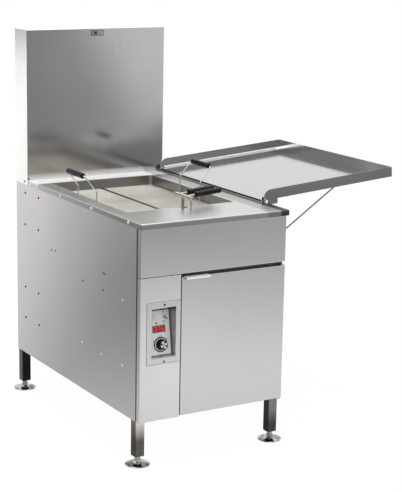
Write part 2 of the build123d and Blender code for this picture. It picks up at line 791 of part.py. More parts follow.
def door_pull():
    # Folded strip on the door's top edge: seat, forward reach and turned-down lip
    x = door_left + pull_from_edge
    top = door_top + pull_sheet
    with BuildSketch(Plane.YZ) as profile:
        with BuildLine():
            Polyline((front + 12, door_top), (front + 12, top), (front - pull_reach, top),
                     (front - pull_reach, top - pull_lip), (front - pull_reach + pull_sheet, top - pull_lip),
                     (front - pull_reach + pull_sheet, door_top), (front + 12, door_top))
        make_face()
    return Pos(x, 0, 0) * extrude(profile.sketch, amount=pull_length)


def door_hinge(z_door, away):
    # Pivot plate fixed to the face frame with the pin that enters the door
    z0 = z_door + away * hinge_gap
    z1 = z0 + away * hinge_plate
    z = sorted((z0, z1))
    plate = block((hinge_xy[0] - 9, hinge_xy[0] + 6), (hinge_xy[1] - 6, body_front), z)
    plate = fillet(plate.edges().filter_by(Axis.Z).sort_by(Axis.Y)[:2], 4)
    pin = cylinder((*hinge_xy, z1), (0, 0, -away), hinge_pin_radius, hinge_plate + hinge_gap + 9)
    return plate + pin


def magnet_catch():
    x = (door_opening_x[0] + lap_gap, door_opening_x[0] + 13)
    y = (front + front_pan_depth + lap_gap, body_front + 14)
    z_mid = door_top - 60
    body = block(x, y, (z_mid - 22, z_mid + 22))
    return fillet(body.edges().filter_by(Axis.Y), 2)


def screen_frame():
    # Rectangular border of flat bar, a spine along the middle and ribs under the mesh
    x = (kettle_x[0] + screen_gap, kettle_x[1] - screen_gap)
    y = (kettle_y[0] + screen_gap, kettle_y[1] - screen_gap)
    z = (screen_bottom, screen_top)
    outer = block(x, y, z)
    outer = fillet(outer.edges().filter_by(Axis.Z), kettle_corner - screen_gap)
    bar = screen_bar
    inner = block((x[0] + bar, x[1] - bar), (y[0] + bar, y[1] - bar), (z[0] - 1, z[1] + 1))
    frame = outer - fillet(inner.edges().filter_by(Axis.Z), kettle_corner - screen_gap - bar)
    mid = sum(x) / 2
    frame += block((mid - screen_spine / 2, mid + screen_spine / 2), (y[0] + 1, y[1] - 1), z)
    pitch = (y[1] - y[0]) / (screen_rib_count + 1)
    for i in range(screen_rib_count):
        rib = y[0] + pitch * (i + 1)
        frame += block((x[0] + 1, x[1] - 1), (rib - 2, rib + 2), (z[0] + 1, z[1] - screen_mesh_sheet))
    return frame


def screen_mesh(side):
    # Half of the mesh, between the border and the spine, coarser than the real weave
    border = screen_gap + screen_bar + hole_gap
    near = kettle_mid[0] + side * (screen_spine / 2 + hole_gap)
    far = kettle_mid[0] + side * (kettle_width / 2 - border)
    x = sorted((near, far))
    y = (kettle_y[0] + border, kettle_y[1] - border)
    sheet = block(x, y, (screen_top - screen_mesh_sheet, screen_top))
    outer_corners = sheet.edges().filter_by(Axis.Z).sort_by(Axis.X)
    outer_corners = outer_corners[2:] if side > 0 else outer_corners[:2]
    sheet = fillet(outer_corners, kettle_corner - screen_gap - screen_bar)
    # Plain openings between bars, in rows and columns
    pitch = ((x[1] - x[0] - mesh_bar) / mesh_columns, (y[1] - y[0] - mesh_bar) / mesh_rows)
    window = Box(pitch[0] - mesh_bar, pitch[1] - mesh_bar, 4 * screen_mesh_sheet)
    middle = Pos(sum(x) / 2, sum(y) / 2, screen_top)
    return sheet - [middle * place * window for place in GridLocations(*pitch, mesh_columns, mesh_rows)]


def handle_leg(side, end):
    inset = screen_gap + screen_bar / 2
    x = kettle_x[1] - inset if side > 0 else kettle_x[0] + inset
    return x, kettle_mid[1] + end * handle_spread / 2


def screen_handle(side):
    # Wire bail: two upright legs that lean outwards to the bar inside the grip
    x, y0 = handle_leg(side, -1)
    y1 = handle_leg(side, 1)[1]
    foot_z = screen_top
    knee = foot_z + handle_rise
    top = knee + handle_lean_rise
    out = x + side * handle_lean_out
    bar = grip_length / 2 + 4
    middle = kettle_mid[1]
    points = [(x, y0, foot_z), (x, y0, knee), (out, middle - bar, top),
              (out, middle + bar, top), (x, y1, knee), (x, y1, foot_z)]
    return rod(points, handle_wire, handle_bend)


def screen_grip(side):
    # Black sleeve on the handle's bar with a slight swell in the middle
    x, _ = handle_leg(side, 1)
    out = x + side * handle_lean_out
    top = screen_top + handle_rise + handle_lean_rise
    return grip((out, kettle_mid[1] - grip_length / 2 + 6, top), (0, 1, 0), grip_length - 12, handle_wire)


def grip(start, direction, length, wire):
    half = grip_radius
    with BuildSketch(Plane.XZ) as profile:
        with BuildLine():
            Polyline((wire + hole_gap, 0), (half - 1.5, 0), (half, 1.5), (half, length - 1.5),
                     (half - 1.5, length), (wire + hole_gap, length), (wire + hole_gap, 0))
        make_face()
    sleeve = revolve(profile.sketch, Axis.Z)
    return Plane(origin=start, z_dir=direction) * sleeve


lifter_x = kettle_mid[0] + 3
lifter_top = deck_height + lifter_height
lifter_rear = kettle_y[0] + 53
lifter_front = lifter_rear - lifter_span
lifter_strip_y = kettle_y[0] - 6


def lifter_rod_start(index):
    return lifter_front + 36 + index * (lifter_grip_pitch - 16)


def lifter_frame():
    # Flat bar on a strip leg with a turned foot and a wire leg, and two grip rods
    half = lifter_bar_width / 2
    bar = block((lifter_x - half, lifter_x + half), (lifter_front, lifter_rear),
                (lifter_top - lifter_bar_sheet, lifter_top))
    strip_y = (lifter_strip_y - lifter_strip_width / 2, lifter_strip_y + lifter_strip_width / 2)
    strip = block((lifter_x - lifter_bar_sheet / 2, lifter_x + lifter_bar_sheet / 2), strip_y,
                  (deck_height, lifter_top - 1))
    foot_plate_x = (lifter_x - lifter_bar_sheet / 2, lifter_x + lifter_foot)
    toe = block(foot_plate_x, strip_y, (deck_height, deck_height + lifter_bar_sheet))
    frame = bar + strip + toe
    frame += cylinder((lifter_x, lifter_front + 7, deck_height), (0, 0, 1), lifter_wire, lifter_height - 1)
    for i in range(2):
        start = (lifter_x, lifter_rod_start(i), lifter_top - lifter_bar_sheet / 2)
        frame += cylinder(start, lifter_direction, lifter_rod, lifter_rod_length + grip_length - 8)
    return frame


lifter_direction = (math.cos(math.radians(lifter_turn)), math.sin(math.radians(lifter_turn)), 0)


def lifter_grip(index):
    start = (lifter_x + lifter_rod_length * lifter_direction[0],
             lifter_rod_start(index) + lifter_rod_length * lifter_direction[1],
             lifter_top - lifter_bar_sheet / 2)
    return grip(start, lifter_direction, grip_length, lifter_rod)


pivot_x = right - tray_pivot_inset
pivot_z = deck_height + tray_pivot_rise
tray_y = (front + tray_front, front + tray_front + tray_length)
tray_tilt = Pos(pivot_x, 0, pivot_z) * Rot(0, -tray_slope, 0)


def tray_end(y):
    # End wall with the rounded lug at the pivot and the ear that clears the deck
    wall = block((0, tray_reach), (0, tray_sheet), (-tray_floor_drop, tray_wall_height - tray_floor_drop))
    corner = wall.edges().filter_by(Axis.Y).sort_by(Axis.X)[:2].sort_by(Axis.Z)[-1]
    wall = fillet(corner, tray_end_radius)
    lug = cylinder((0, 0, 0), (0, 1, 0), tray_lug_radius, tray_sheet)
    ear = block((tray_ear_start, tray_ear_end), (0, tray_sheet), (-tray_ear_drop, 0))
    ear = fillet(ear.edges().filter_by(Axis.Y).sort_by(Axis.Z)[:2], 5)
    plate = wall + lug + ear
    plate -= cylinder((0, -1, 0), (0, 1, 0), tray_pin_radius + running_gap, tray_sheet + 2)
    return Pos(0, y, 0) * plate


def tray_pan():
    # Sheet pan, open on the fryer's side, with three walls
    floor_z = (-tray_floor_drop, -tray_floor_drop + tray_sheet)
    top = tray_wall_height - tray_floor_drop
    pan = block((-tray_lip, tray_reach), tray_y, floor_z)
    lip_z = floor_z[0] - tray_lip_drop
    pan += block((-tray_lip, -tray_lip + tray_sheet), tray_y, (lip_z, floor_z[1]))
    for y in tray_y:
        notch = sorted((y, y + (12 if y == tray_y[0] else -12)))
        pan -= block((-tray_lip - 1, tray_ear_start), notch, (lip_z - 1, floor_z[1] + 1))
    pan += block((tray_reach - tray_sheet, tray_reach), tray_y, (floor_z[0], top))
    pan += tray_end(tray_y[0])
    pan += tray_end(tray_y[1] - tray_sheet)
    # A coved strip fills the corner along the rear wall
    y = tray_y[1] - tray_sheet
    half = tray_sheet / 2
    cove = block((tray_ear_start, tray_reach - half), (y - tray_cove, y + half),
                 (floor_z[1] - half, floor_z[1] + tray_cove))
    hollow = (tray_ear_start - 1, y - tray_cove, floor_z[1] + tray_cove)
    pan += cove - cylinder(hollow, (1, 0, 0), tray_cove, tray_reach)
    return tray_tilt * pan


def tray_bracket(y_wall, inward):
    # Plate welded on the deck with the pin that carries the tray's lug
    gap = 1.0
    y = sorted((y_wall + inward * (tray_sheet + gap), y_wall + inward * (tray_sheet + gap + tray_plate)))
    plate = block((pivot_x - 8, pivot_x + 6), y, (deck_height, pivot_z))
    plate += cylinder((pivot_x, y[0], pivot_z), (0, 1, 0), 7, tray_plate)
    reach = tray_sheet + gap + tray_plate + 1
    start = (pivot_x, y_wall + inward * (tray_sheet + gap + tray_plate), pivot_z)
    pin = cylinder(start, (0, -inward, 0), tray_pin_radius, reach)
    head = (pivot_x, y_wall - inward * 0.5, pivot_z)
    return plate + pin + cylinder(head, (0, -inward, 0), tray_pin_radius + 2, 2.5)


def bail_point(distance):
    angle = math.radians(bail_angle)
    return (bail_pivot_x + distance * math.cos(angle), bail_pivot_height + distance * math.sin(angle))


bail_pivot_x = right + bail_pivot_out
bail_y = (tray_y[0] + bail_from_front, tray_y[1] - bail_from_front)


def tray_bail():
    # U-shaped stay: two legs, the cross rod under the tray, ends turned out as pins
    top_x, top_z = bail_point(bail_reach)
    low = (bail_pivot_x, bail_pivot_height)
    pin_y = (bail_y[0] - bail_pin_length, bail_y[1] + bail_pin_length)
    points = [(low[0], pin_y[0], low[1]), (low[0], bail_y[0], low[1]), (top_x, bail_y[0], top_z),
              (top_x, bail_y[1], top_z), (low[0], bail_y[1], low[1]), (low[0], pin_y[1], low[1])]
    return rod(points, bail_radius, bail_bend)


def bail_bracket(y, outward):
    # Ear on the side panel, bored for the end of the stay
    eye = bail_eye_radius
    y0 = y + outward * (bail_pin_length - bail_plate - 5)
    span = sorted((y0, y0 + outward * bail_plate))
    plate = block((right, bail_pivot_x), span, (bail_pivot_height - eye, bail_pivot_height + eye))
    plate += cylinder((bail_pivot_x, span[0], bail_pivot_height), (0, 1, 0), eye, bail_plate)
    foot_y = sorted((y0, y0 + outward * 2 * eye))
    foot_z = (bail_pivot_height - 1.5 * eye, bail_pivot_height + 1.5 * eye)
    plate += block((right, right + bail_plate), foot_y, foot_z)
    return plate - cylinder((bail_pivot_x, span[0] - 1, bail_pivot_height), (0, 1, 0),
                            bail_radius + running_gap, bail_plate + 2)


def tray_hook(y):
    # Stop under the tray: the stay's cross rod rests in its inner corner
    top_x, top_z = bail_point(bail_reach)
    slope = math.radians(tray_slope)
    along = (top_x - pivot_x) * math.cos(slope) + (top_z - pivot_z) * math.sin(slope)
    up = -(top_x - pivot_x) * math.sin(slope) + (top_z - pivot_z) * math.cos(slope)
    hole = bail_radius + 0.5
    body = block((along - 14, along + 8), (y - 10, y + 10), (up - 6, -tray_floor_drop))
    slot = cylinder((along, y - 11, up), (0, 1, 0), hole, 22)
    slot += block((along - hole, along + 9), (y - 11, y + 11), (up - 7, up))
    slot += block((along, along + 9), (y - 11, y + 11), (up - 7, up + hole))
    return tray_tilt * (body - slot)


save("side_panel_left", side_panel(-1))
save("side_panel_right", side_panel(1))
save("rear_panel", rear_panel())
save("bottom_shelf", bottom_shelf())
save("face_frame", face_frame())
save("control_enclosure", control_enclosure())
save("front_apron", front_apron())
save("control_panel", control_panel())
save("control_bezel", control_bezel())
save("control_housing", control_housing())
save("control_face", control_face())
save("display_window", display_window())
save("indicator_lamp", indicator_lamp())
save("dial_plate", dial_plate())
save("toggle_bushing", toggle_bushing())
save("deck", deck())
save("kettle", kettle())
save("heat_tubes", *[heat_tube(x) for x in tube_xs])
save("flue_plenum", flue_plenum())
save("flue_riser", flue_riser())
save("hanger_hook", hanger_hook())
save("burners", *[burner(x) for x in tube_xs])
save("burner_manifold", burner_manifold())
save("gas_valve", gas_valve())
save("gas_pipe", gas_pipe())
save("drain_pipe", drain_pipe())
save("drain_valve", drain_valve())
save("temperature_probe", temperature_probe())
save("cord_gland", cord_gland())
wool_left = (left + panel_sheet + wool_gap, kettle_x[0] - kettle_wall - wool_gap)
wool_right = (kettle_x[1] + kettle_wall + wool_gap, right - panel_sheet - wool_gap)
save("kettle_insulation", insulation(wool_left), insulation(wool_right))
for end, sy in (("front", -1), ("rear", 1)):
    for hand, sx in (("left", -1), ("right", 1)):
        save(f"leg_{end}_{hand}", leg(sx, sy))
        save(f"foot_{end}_{hand}", foot(sx, sy))
save("door_hinges", door_hinge(door_z[1], 1), door_hinge(door_z[0], -1))
save("magnet_catch", magnet_catch())
save("door_skin", door_skin())
save("door_liner", door_liner())
save("door_pull", door_pull())
save("temperature_knob", temperature_knob())
save("knob_cap", knob_cap())
save("toggle_lever", toggle_lever())
save("gas_knob", gas_knob())
save("drain_handle", drain_handle())
save("screen_frame", screen_frame())
save("screen_mesh", screen_mesh(-1), screen_mesh(1))
save("screen_handles", screen_handle(-1), screen_handle(1))
save("screen_grips", screen_grip(-1), screen_grip(1))
save("lifter_frame", lifter_frame())
save("lifter_grips", lifter_grip(0), lifter_grip(1))
save("tray_pan", tray_pan())
hook_y = (bail_y[0] + tray_hook_from_end, bail_y[1] - tray_hook_from_end)
save("tray_hooks", tray_hook(hook_y[0]), tray_hook(hook_y[1]))
save("tray_brackets", tray_bracket(tray_y[0], 1), tray_bracket(tray_y[1], -1))
save("tray_bail", tray_bail())
save("bail_brackets", bail_bracket(bail_y[0], -1), bail_bracket(bail_y[1], 1))
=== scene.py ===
import bpy
import bmesh
import json
import math
import numpy as np
from mathutils import Matrix, Vector


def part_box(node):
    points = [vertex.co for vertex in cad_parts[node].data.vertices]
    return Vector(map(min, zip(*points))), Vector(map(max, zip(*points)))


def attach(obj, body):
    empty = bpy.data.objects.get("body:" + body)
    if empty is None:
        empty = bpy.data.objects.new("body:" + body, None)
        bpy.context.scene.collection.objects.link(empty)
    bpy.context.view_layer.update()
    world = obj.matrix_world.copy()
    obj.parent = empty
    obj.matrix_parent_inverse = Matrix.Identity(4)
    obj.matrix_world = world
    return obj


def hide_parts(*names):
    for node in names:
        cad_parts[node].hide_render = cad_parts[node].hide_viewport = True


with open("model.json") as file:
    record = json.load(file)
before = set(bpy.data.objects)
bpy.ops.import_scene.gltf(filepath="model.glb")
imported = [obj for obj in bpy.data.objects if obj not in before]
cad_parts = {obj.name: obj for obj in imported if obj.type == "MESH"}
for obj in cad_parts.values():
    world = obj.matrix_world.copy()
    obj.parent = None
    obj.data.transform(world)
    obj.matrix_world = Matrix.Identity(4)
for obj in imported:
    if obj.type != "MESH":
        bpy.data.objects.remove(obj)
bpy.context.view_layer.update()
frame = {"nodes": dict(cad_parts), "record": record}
nodes = frame["nodes"]
print("frame loaded:", len(nodes), "solids")

# main sizes of the fryer, in metres, as the solids have them
fryer = {"half": 0.311, "front": -0.5395, "rear": 0.5395, "deckTop": 0.914, "flange": 0.3133,
         "sideFront": -0.5135, "riserFront": 0.4225, "riserRear": 0.5415, "bottom": 0.173}


photoView = {"place": (-2.6777, -4.9227, 1.9550), "yaw": 0.5382, "pitch": 0.2207, "roll": 0.0190,
             "focalPixels": 1447.38, "frameHeight": 492, "sensor": 36.0}


def cameraAxes(view):
    # forward from yaw and pitch, then right and up turned about it by the roll
    yaw, pitch, roll = view["yaw"], view["pitch"], view["roll"]
    forward = Vector((math.sin(yaw) * math.cos(pitch), math.cos(yaw) * math.cos(pitch), -math.sin(pitch)))
    right = Vector((math.cos(yaw), -math.sin(yaw), 0))
    up = right.cross(forward)
    turnedRight = math.cos(roll) * right + math.sin(roll) * up
    turnedUp = math.cos(roll) * up - math.sin(roll) * right
    return turnedRight, turnedUp, -forward


lens = bpy.data.cameras.new("photoLens")
lens.sensor_width = photoView["sensor"]
lens.lens = photoView["focalPixels"] * photoView["sensor"] / photoView["frameHeight"]
lens.clip_end = 60
camera = bpy.data.objects.new("photoCamera", lens)
turn = Matrix([list(axis) for axis in cameraAxes(photoView)]).transposed().to_4x4()
camera.matrix_world = Matrix.Translation(photoView["place"]) @ turn
bpy.context.scene.collection.objects.link(camera)
bpy.context.scene.camera = camera
bpy.context.scene.view_settings.view_transform = "Standard"
print("camera set")


def meshObject(name, points, faces, smooth=40):
    mesh = bpy.data.meshes.new(name)
    mesh.from_pydata([], [], [])
    mesh.vertices.add(len(points))
    mesh.vertices.foreach_set("co", np.asarray(points, np.float32).ravel())
    sides = faces.shape[1]
    mesh.loops.add(faces.size)
    mesh.loops.foreach_set("vertex_index", faces.astype(np.int32).ravel())
    mesh.polygons.add(len(faces))
    mesh.polygons.foreach_set("loop_start", np.arange(0, faces.size, sides, dtype=np.int32))
    mesh.update(calc_edges=True)
    work = bmesh.new()
    work.from_mesh(mesh)
    bmesh.ops.remove_doubles(work, verts=work.verts, dist=2e-6)
    bmesh.ops.dissolve_degenerate(work, edges=work.edges, dist=1e-7)
    bmesh.ops.recalc_face_normals(work, faces=work.faces)
    work.to_mesh(mesh)
    work.free()
    piece = bpy.data.objects.new(name, mesh)
    bpy.context.scene.collection.objects.link(piece)
    mesh.shade_smooth()
    mesh.set_sharp_from_angle(angle=math.radians(smooth))
    return piece


def gridFaces(copies, rows, columns, closeRows, closeColumns):
    # quads of a (copies, rows, columns) grid; a closed direction joins its last line to its first
    rowCount = rows if closeRows else rows - 1
    columnCount = columns if closeColumns else columns - 1
    copy, row, column = np.meshgrid(np.arange(copies), np.arange(rowCount), np.arange(columnCount), indexing="ij")
    nextRow, nextColumn = (row + 1) % rows, (column + 1) % columns
    index = lambda a, b: (copy * rows + a) * columns + b
    return np.stack([index(row, column), index(nextRow, column), index(nextRow, nextColumn),
                     index(row, nextColumn)], -1).reshape(-1, 4)


def surface(name, grids, closeRows=False, closeColumns=False, smooth=40):
    # one piece from grids of points, each shaped (copies, rows, columns, 3)
    points, faces, start = [], [], 0
    for grid in grids:
        grid = grid if grid.ndim == 4 else grid[None]
        copies, rows, columns, _ = grid.shape
        points.append(grid.reshape(-1, 3))
        faces.append(gridFaces(copies, rows, columns, closeRows, closeColumns) + start)
        start += copies * rows * columns
    return meshObject(name, np.concatenate(points), np.concatenate(faces), smooth)


def across(axis):
    # two unit vectors square to an axis
    axis = np.asarray(axis, float) / np.linalg.norm(axis)
    first = np.cross(axis, (0, 0, 1) if abs(axis[2]) < 0.9 else (1, 0, 0))
    first /= np.linalg.norm(first)
    return axis, first, np.cross(axis, first)


def turned(profile, centres, axis, steps=24):
    # (radius, height) pairs spun about an axis: centre + r (cos t e1 + sin t e2) + h axis
    axis, first, second = across(axis)
    radius, height = np.asarray(profile, float).T
    t = np.linspace(0, 2 * np.pi, steps, endpoint=False)
    ring = np.cos(t)[:, None] * first + np.sin(t)[:, None] * second
    shape = radius[:, None, None] * ring[None] + height[:, None, None] * axis
    return np.atleast_2d(centres)[:, None, None, :] + shape[None]


def carried(path, radius, sides=10, closed=False):
    # a round section carried along a path: p(s) + r (cos t n(s) + sin t b(s)), ends drawn to a point
    path = np.asarray(path, float)
    tangent = np.roll(path, -1, 0) - np.roll(path, 1, 0) if closed else np.gradient(path, axis=0)
    tangent /= np.linalg.norm(tangent, axis=1)[:, None]
    guide = np.array((0, 0, 1.0)) if np.abs(tangent[:, 2]).mean() < 0.9 else np.array((0, 1.0, 0))
    normal = np.cross(tangent, guide)
    lengths = np.linalg.norm(normal, axis=1)[:, None]
    normal = normal / np.maximum(lengths, 1e-6)
    other = np.cross(tangent, normal)
    t = np.linspace(0, 2 * np.pi, sides, endpoint=False)
    radius = np.broadcast_to(radius, len(path)).astype(float)
    ring = np.cos(t)[None, :, None] * normal[:, None] + np.sin(t)[None, :, None] * other[:, None]
    grid = path[:, None] + radius[:, None, None] * ring
    if not closed:
        grid = np.concatenate([np.repeat(path[:1, None], sides, 1), grid, np.repeat(path[-1:, None], sides, 1)])
    return grid


def bentRoute(corners, radius, steps=8):
    # straight runs joined by arcs of a quadratic curve at each corner
    corners = [np.asarray(c, float) for c in corners]
    route = [corners[0]]
    for before, here, after in zip(corners, corners[1:], corners[2:]):
        back = before - here
        on = after - here
        cut = min(radius, 0.45 * np.linalg.norm(back), 0.45 * np.linalg.norm(on))
        a = here + back / np.linalg.norm(back) * cut
        b = here + on / np.linalg.norm(on) * cut
        s = np.linspace(0, 1, steps)[:, None]
        route.extend((1 - s) ** 2 * a + 2 * s * (1 - s) * here + s ** 2 * b)
    route.append(corners[-1])
    return np.array(route)


def bevelPlate(origin, along, up, out, size, thick, edge, corner=0.0, steps=6):
    # rounded plate: loops of a rounded rectangle, drawn in at its rim and closed to its middle
    along, up, out = (np.asarray(v, float) for v in (along, up, out))
    rows = [(0.0, 0.0), (0.0, thick - edge), (edge * 0.3, thick - edge * 0.3), (edge, thick)]
    rings = []
    for draw, height in rows:
        w, h = size[0] / 2 - draw, size[1] / 2 - draw
        r = max(corner - draw, 1e-5)
        t = np.linspace(0, np.pi / 2, steps)
        quarter = np.stack([np.cos(t) * r, np.sin(t) * r], -1)
        loop = np.concatenate([quarter + (w - r, h - r),
                               np.stack([-quarter[::-1, 0], quarter[::-1, 1]], -1) + (r - w, h - r),
                               -quarter + (r - w, r - h),
                               np.stack([quarter[::-1, 0], -quarter[::-1, 1]], -1) + (w - r, r - h)])
        rings.append(np.asarray(origin) + loop[:, :1] * along + loop[:, 1:] * up + height * out)
    middle = np.asarray(origin)
    rings.insert(0, np.repeat(middle[None], len(rings[0]), 0))
    rings.append(np.repeat((middle + thick * out)[None], len(rings[1]), 0))
    return np.array(rings)


def newMaterial(name):
    material = bpy.data.materials.new(name)
    material.use_nodes = True
    tree = material.node_tree
    shader = tree.nodes["Principled BSDF"]
    return material, tree, shader


def objectNoise(tree, scale, stretch=(1, 1, 1), detail=3.0, rough=0.55, turnBy=(0, 0, 0)):
    place = tree.nodes.new("ShaderNodeTexCoord")
    mapping = tree.nodes.new("ShaderNodeMapping")
    mapping.inputs["Scale"].default_value = stretch
    mapping.inputs["Rotation"].default_value = turnBy
    noise = tree.nodes.new("ShaderNodeTexNoise")
    noise.inputs["Scale"].default_value = scale
    noise.inputs["Detail"].default_value = detail
    noise.inputs["Roughness"].default_value = rough
    tree.links.new(place.outputs["Object"], mapping.inputs["Vector"])
    tree.links.new(mapping.outputs["Vector"], noise.inputs["Vector"])
    return noise.outputs["Fac"]


def spread(tree, value, low, high, fromLow=0.3, fromHigh=0.7):
    ranged = tree.nodes.new("ShaderNodeMapRange")
    ranged.inputs["From Min"].default_value = fromLow
    ranged.inputs["From Max"].default_value = fromHigh
    ranged.inputs["To Min"].default_value = low
    ranged.inputs["To Max"].default_value = high
    tree.links.new(value, ranged.inputs["Value"])
    return ranged.outputs["Result"]


def blendColours(tree, factor, first, second):
    mix = tree.nodes.new("ShaderNodeMix")
    mix.data_type = "RGBA"
    tree.links.new(factor, mix.inputs["Factor"])
    for socket, colour in ((mix.inputs[6], first), (mix.inputs[7], second)):
        if isinstance(colour, bpy.types.NodeSocket):
            tree.links.new(colour, socket)
        else:
            socket.default_value = (*colour, 1)
    return mix.outputs[2]


def relief(tree, shader, heights):
    # bumps laid one on another: (height, strength, distance)
    last = None
    for height, strength, distance in heights:
        bump = tree.nodes.new("ShaderNodeBump")
        bump.inputs["Strength"].default_value = strength
        bump.inputs["Distance"].default_value = distance
        tree.links.new(height, bump.inputs["Height"])
        if last:
            tree.links.new(last, bump.inputs["Normal"])
        last = bump.outputs["Normal"]
    tree.links.new(last, shader.inputs["Normal"])


def toned(colour, factor):
    return tuple(min(1.0, c * factor) for c in colour)


# grain names the axis that the brushing runs along
sheetSteel = {"tone": (0.64, 0.637, 0.632), "rough": 0.22, "grainScale": 1400, "grainBump": 0.008,
              "smudge": 0.02, "contrast": 0.02}


def brushedSteel(name, grain="Z", **change):
    look = {**sheetSteel, **change}
    material, tree, shader = newMaterial(name)
    stretch = {"X": (0.012, 1, 1), "Y": (1, 0.012, 1), "Z": (1, 1, 0.012)}[grain]
    lines = objectNoise(tree, look["grainScale"], stretch, 2.0, 0.6)
    coarse = objectNoise(tree, look["grainScale"] * 0.4, stretch, 2.0, 0.5)
    cloud = objectNoise(tree, 2.2, (1, 1, 0.7), 3.0, 0.5)
    dark, light = toned(look["tone"], 1 - look["contrast"]), toned(look["tone"], 1 + look["contrast"])
    streaked = blendColours(tree, spread(tree, coarse, 0, 1), dark, light)
    worn = toned(look["tone"], 1 - 2 * look["smudge"])
    tree.links.new(blendColours(tree, spread(tree, cloud, 0, look["smudge"] * 6), streaked, worn),
                   shader.inputs["Base Color"])
    shader.inputs["Metallic"].default_value = 1.0
    mixed = tree.nodes.new("ShaderNodeMath")
    tree.links.new(spread(tree, lines, -0.03, 0.03), mixed.inputs[0])
    tree.links.new(spread(tree, cloud, look["rough"] - 0.03, look["rough"] + 0.05), mixed.inputs[1])
    tree.links.new(mixed.outputs[0], shader.inputs["Roughness"])
    relief(tree, shader, [(lines, look["grainBump"], 0.00025), (coarse, look["grainBump"] * 0.5, 0.0004)])
    return material


def brightMetal(name, tone, rough, scale=260, bump=0.04):
    material, tree, shader = newMaterial(name)
    grain = objectNoise(tree, scale, (1, 1, 1), 3.0)
    tree.links.new(blendColours(tree, spread(tree, grain, 0, 1), toned(tone, 0.88), toned(tone, 1.08)),
                   shader.inputs["Base Color"])
    shader.inputs["Metallic"].default_value = 1.0
    tree.links.new(spread(tree, grain, rough * 0.75, rough * 1.3), shader.inputs["Roughness"])
    relief(tree, shader, [(grain, bump, 0.0004)])
    return material


def moulded(name, tone, rough, scale=420, bump=0.08, metallic=0.0, coat=0.0, shine=0.5):
    material, tree, shader = newMaterial(name)
    grain = objectNoise(tree, scale, (1, 1, 1), 4.0)
    dust = objectNoise(tree, 30, (1, 1, 1), 4.0)
    tree.links.new(blendColours(tree, spread(tree, dust, 0, 1), tone, toned(tone, 1.35)), shader.inputs["Base Color"])
    shader.inputs["Metallic"].default_value = metallic
    shader.inputs["Coat Weight"].default_value = coat
    shader.inputs["Specular IOR Level"].default_value = shine
    tree.links.new(spread(tree, dust, rough * 0.85, rough * 1.15), shader.inputs["Roughness"])
    relief(tree, shader, [(grain, bump, 0.0004)])
    return material


def patchedMetal(name, dark, light, rough, scale, detail=3.0):
    # metal whose tone wanders between two values in patches: fat stains on the screen's mesh, painted reflections on
    # the feet
    material, tree, shader = newMaterial(name)
    patch = objectNoise(tree, scale, (1, 1, 1), detail)
    grain = objectNoise(tree, 260, (1, 1, 1), 3.0)
    tree.links.new(blendColours(tree, spread(tree, patch, 0, 1, 0.38, 0.62), dark, light), shader.inputs["Base Color"])
    shader.inputs["Metallic"].default_value = 1.0
    tree.links.new(spread(tree, grain, rough * 0.75, rough * 1.3), shader.inputs["Roughness"])
    relief(tree, shader, [(grain, 0.04, 0.0004)])
    return material


finishes = {
    "brushed_stainless": brushedSteel("brushedStainless"),
    "kettle_stainless": brushedSteel("kettleStainless", "Y", tone=(0.38, 0.378, 0.37), rough=0.34),
    "leg_stainless": brushedSteel("legStainless", "Z", tone=(0.105, 0.098, 0.092), rough=0.2, contrast=0.2),
    "foot_steel": brightMetal("footSteel", (0.62, 0.62, 0.61), 0.22),
    "wire_steel": brightMetal("wireSteel", (0.72, 0.71, 0.68), 0.22),
    "mesh_steel": patchedMetal("meshSteel", (0.50, 0.475, 0.435), (0.62, 0.595, 0.55), 0.42, 5),
    "black_grip": moulded("blackGrip", (0.004, 0.004, 0.004), 0.34, 300, 0.15, shine=0.22),
    "knob_black": moulded("knobBlack", (0.004, 0.004, 0.005), 0.28, 500, 0.05, shine=0.3),
    "knob_silver": brightMetal("knobSilver", (0.86, 0.86, 0.86), 0.18),
    "display_red": moulded("displayRed", (0.34, 0.030, 0.045), 0.15, 100, 0.0, coat=0.5),
    "lamp_amber": moulded("lampAmber", (0.16, 0.10, 0.05), 0.15, 100, 0.0, coat=0.5),
    "control_face_grey": moulded("controlFaceGrey", (0.80, 0.80, 0.80), 0.35, 700, 0.03),
    "dial_scale": moulded("dialScale", (0.015, 0.015, 0.016), 0.4, 500, 0.03),
    "black_iron": moulded("blackIron", (0.03, 0.03, 0.03), 0.55, 350, 0.25, metallic=0.6),
    "cast_burner": moulded("castBurner", (0.10, 0.095, 0.09), 0.6, 300, 0.45, metallic=0.7),
    "valve_aluminium": moulded("valveAluminium", (0.42, 0.42, 0.43), 0.42, 500, 0.2, metallic=1.0),
    "valve_brass": brightMetal("valveBrass", (0.70, 0.50, 0.22), 0.30),
    "lever_red": moulded("leverRed", (0.45, 0.02, 0.02), 0.35, 300, 0.06, coat=0.3),
    "mineral_wool": moulded("mineralWool", (0.55, 0.50, 0.36), 0.95, 160, 0.8),
    "grey_plastic": moulded("greyPlastic", (0.10, 0.10, 0.10), 0.5, 300, 0.1),
}
grainOf = {"side_panel_left": "Y", "side_panel_right": "Y", "rear_panel": "X", "bottom_shelf": "Y", "deck": "X",
           "front_apron": "X", "tray_pan": "X", "flue_riser": "Z"}
grained = {"X": brushedSteel("brushedStainlessX", "X"),
           "Y": brushedSteel("brushedStainlessY", "Y", tone=(0.642, 0.624, 0.608))}


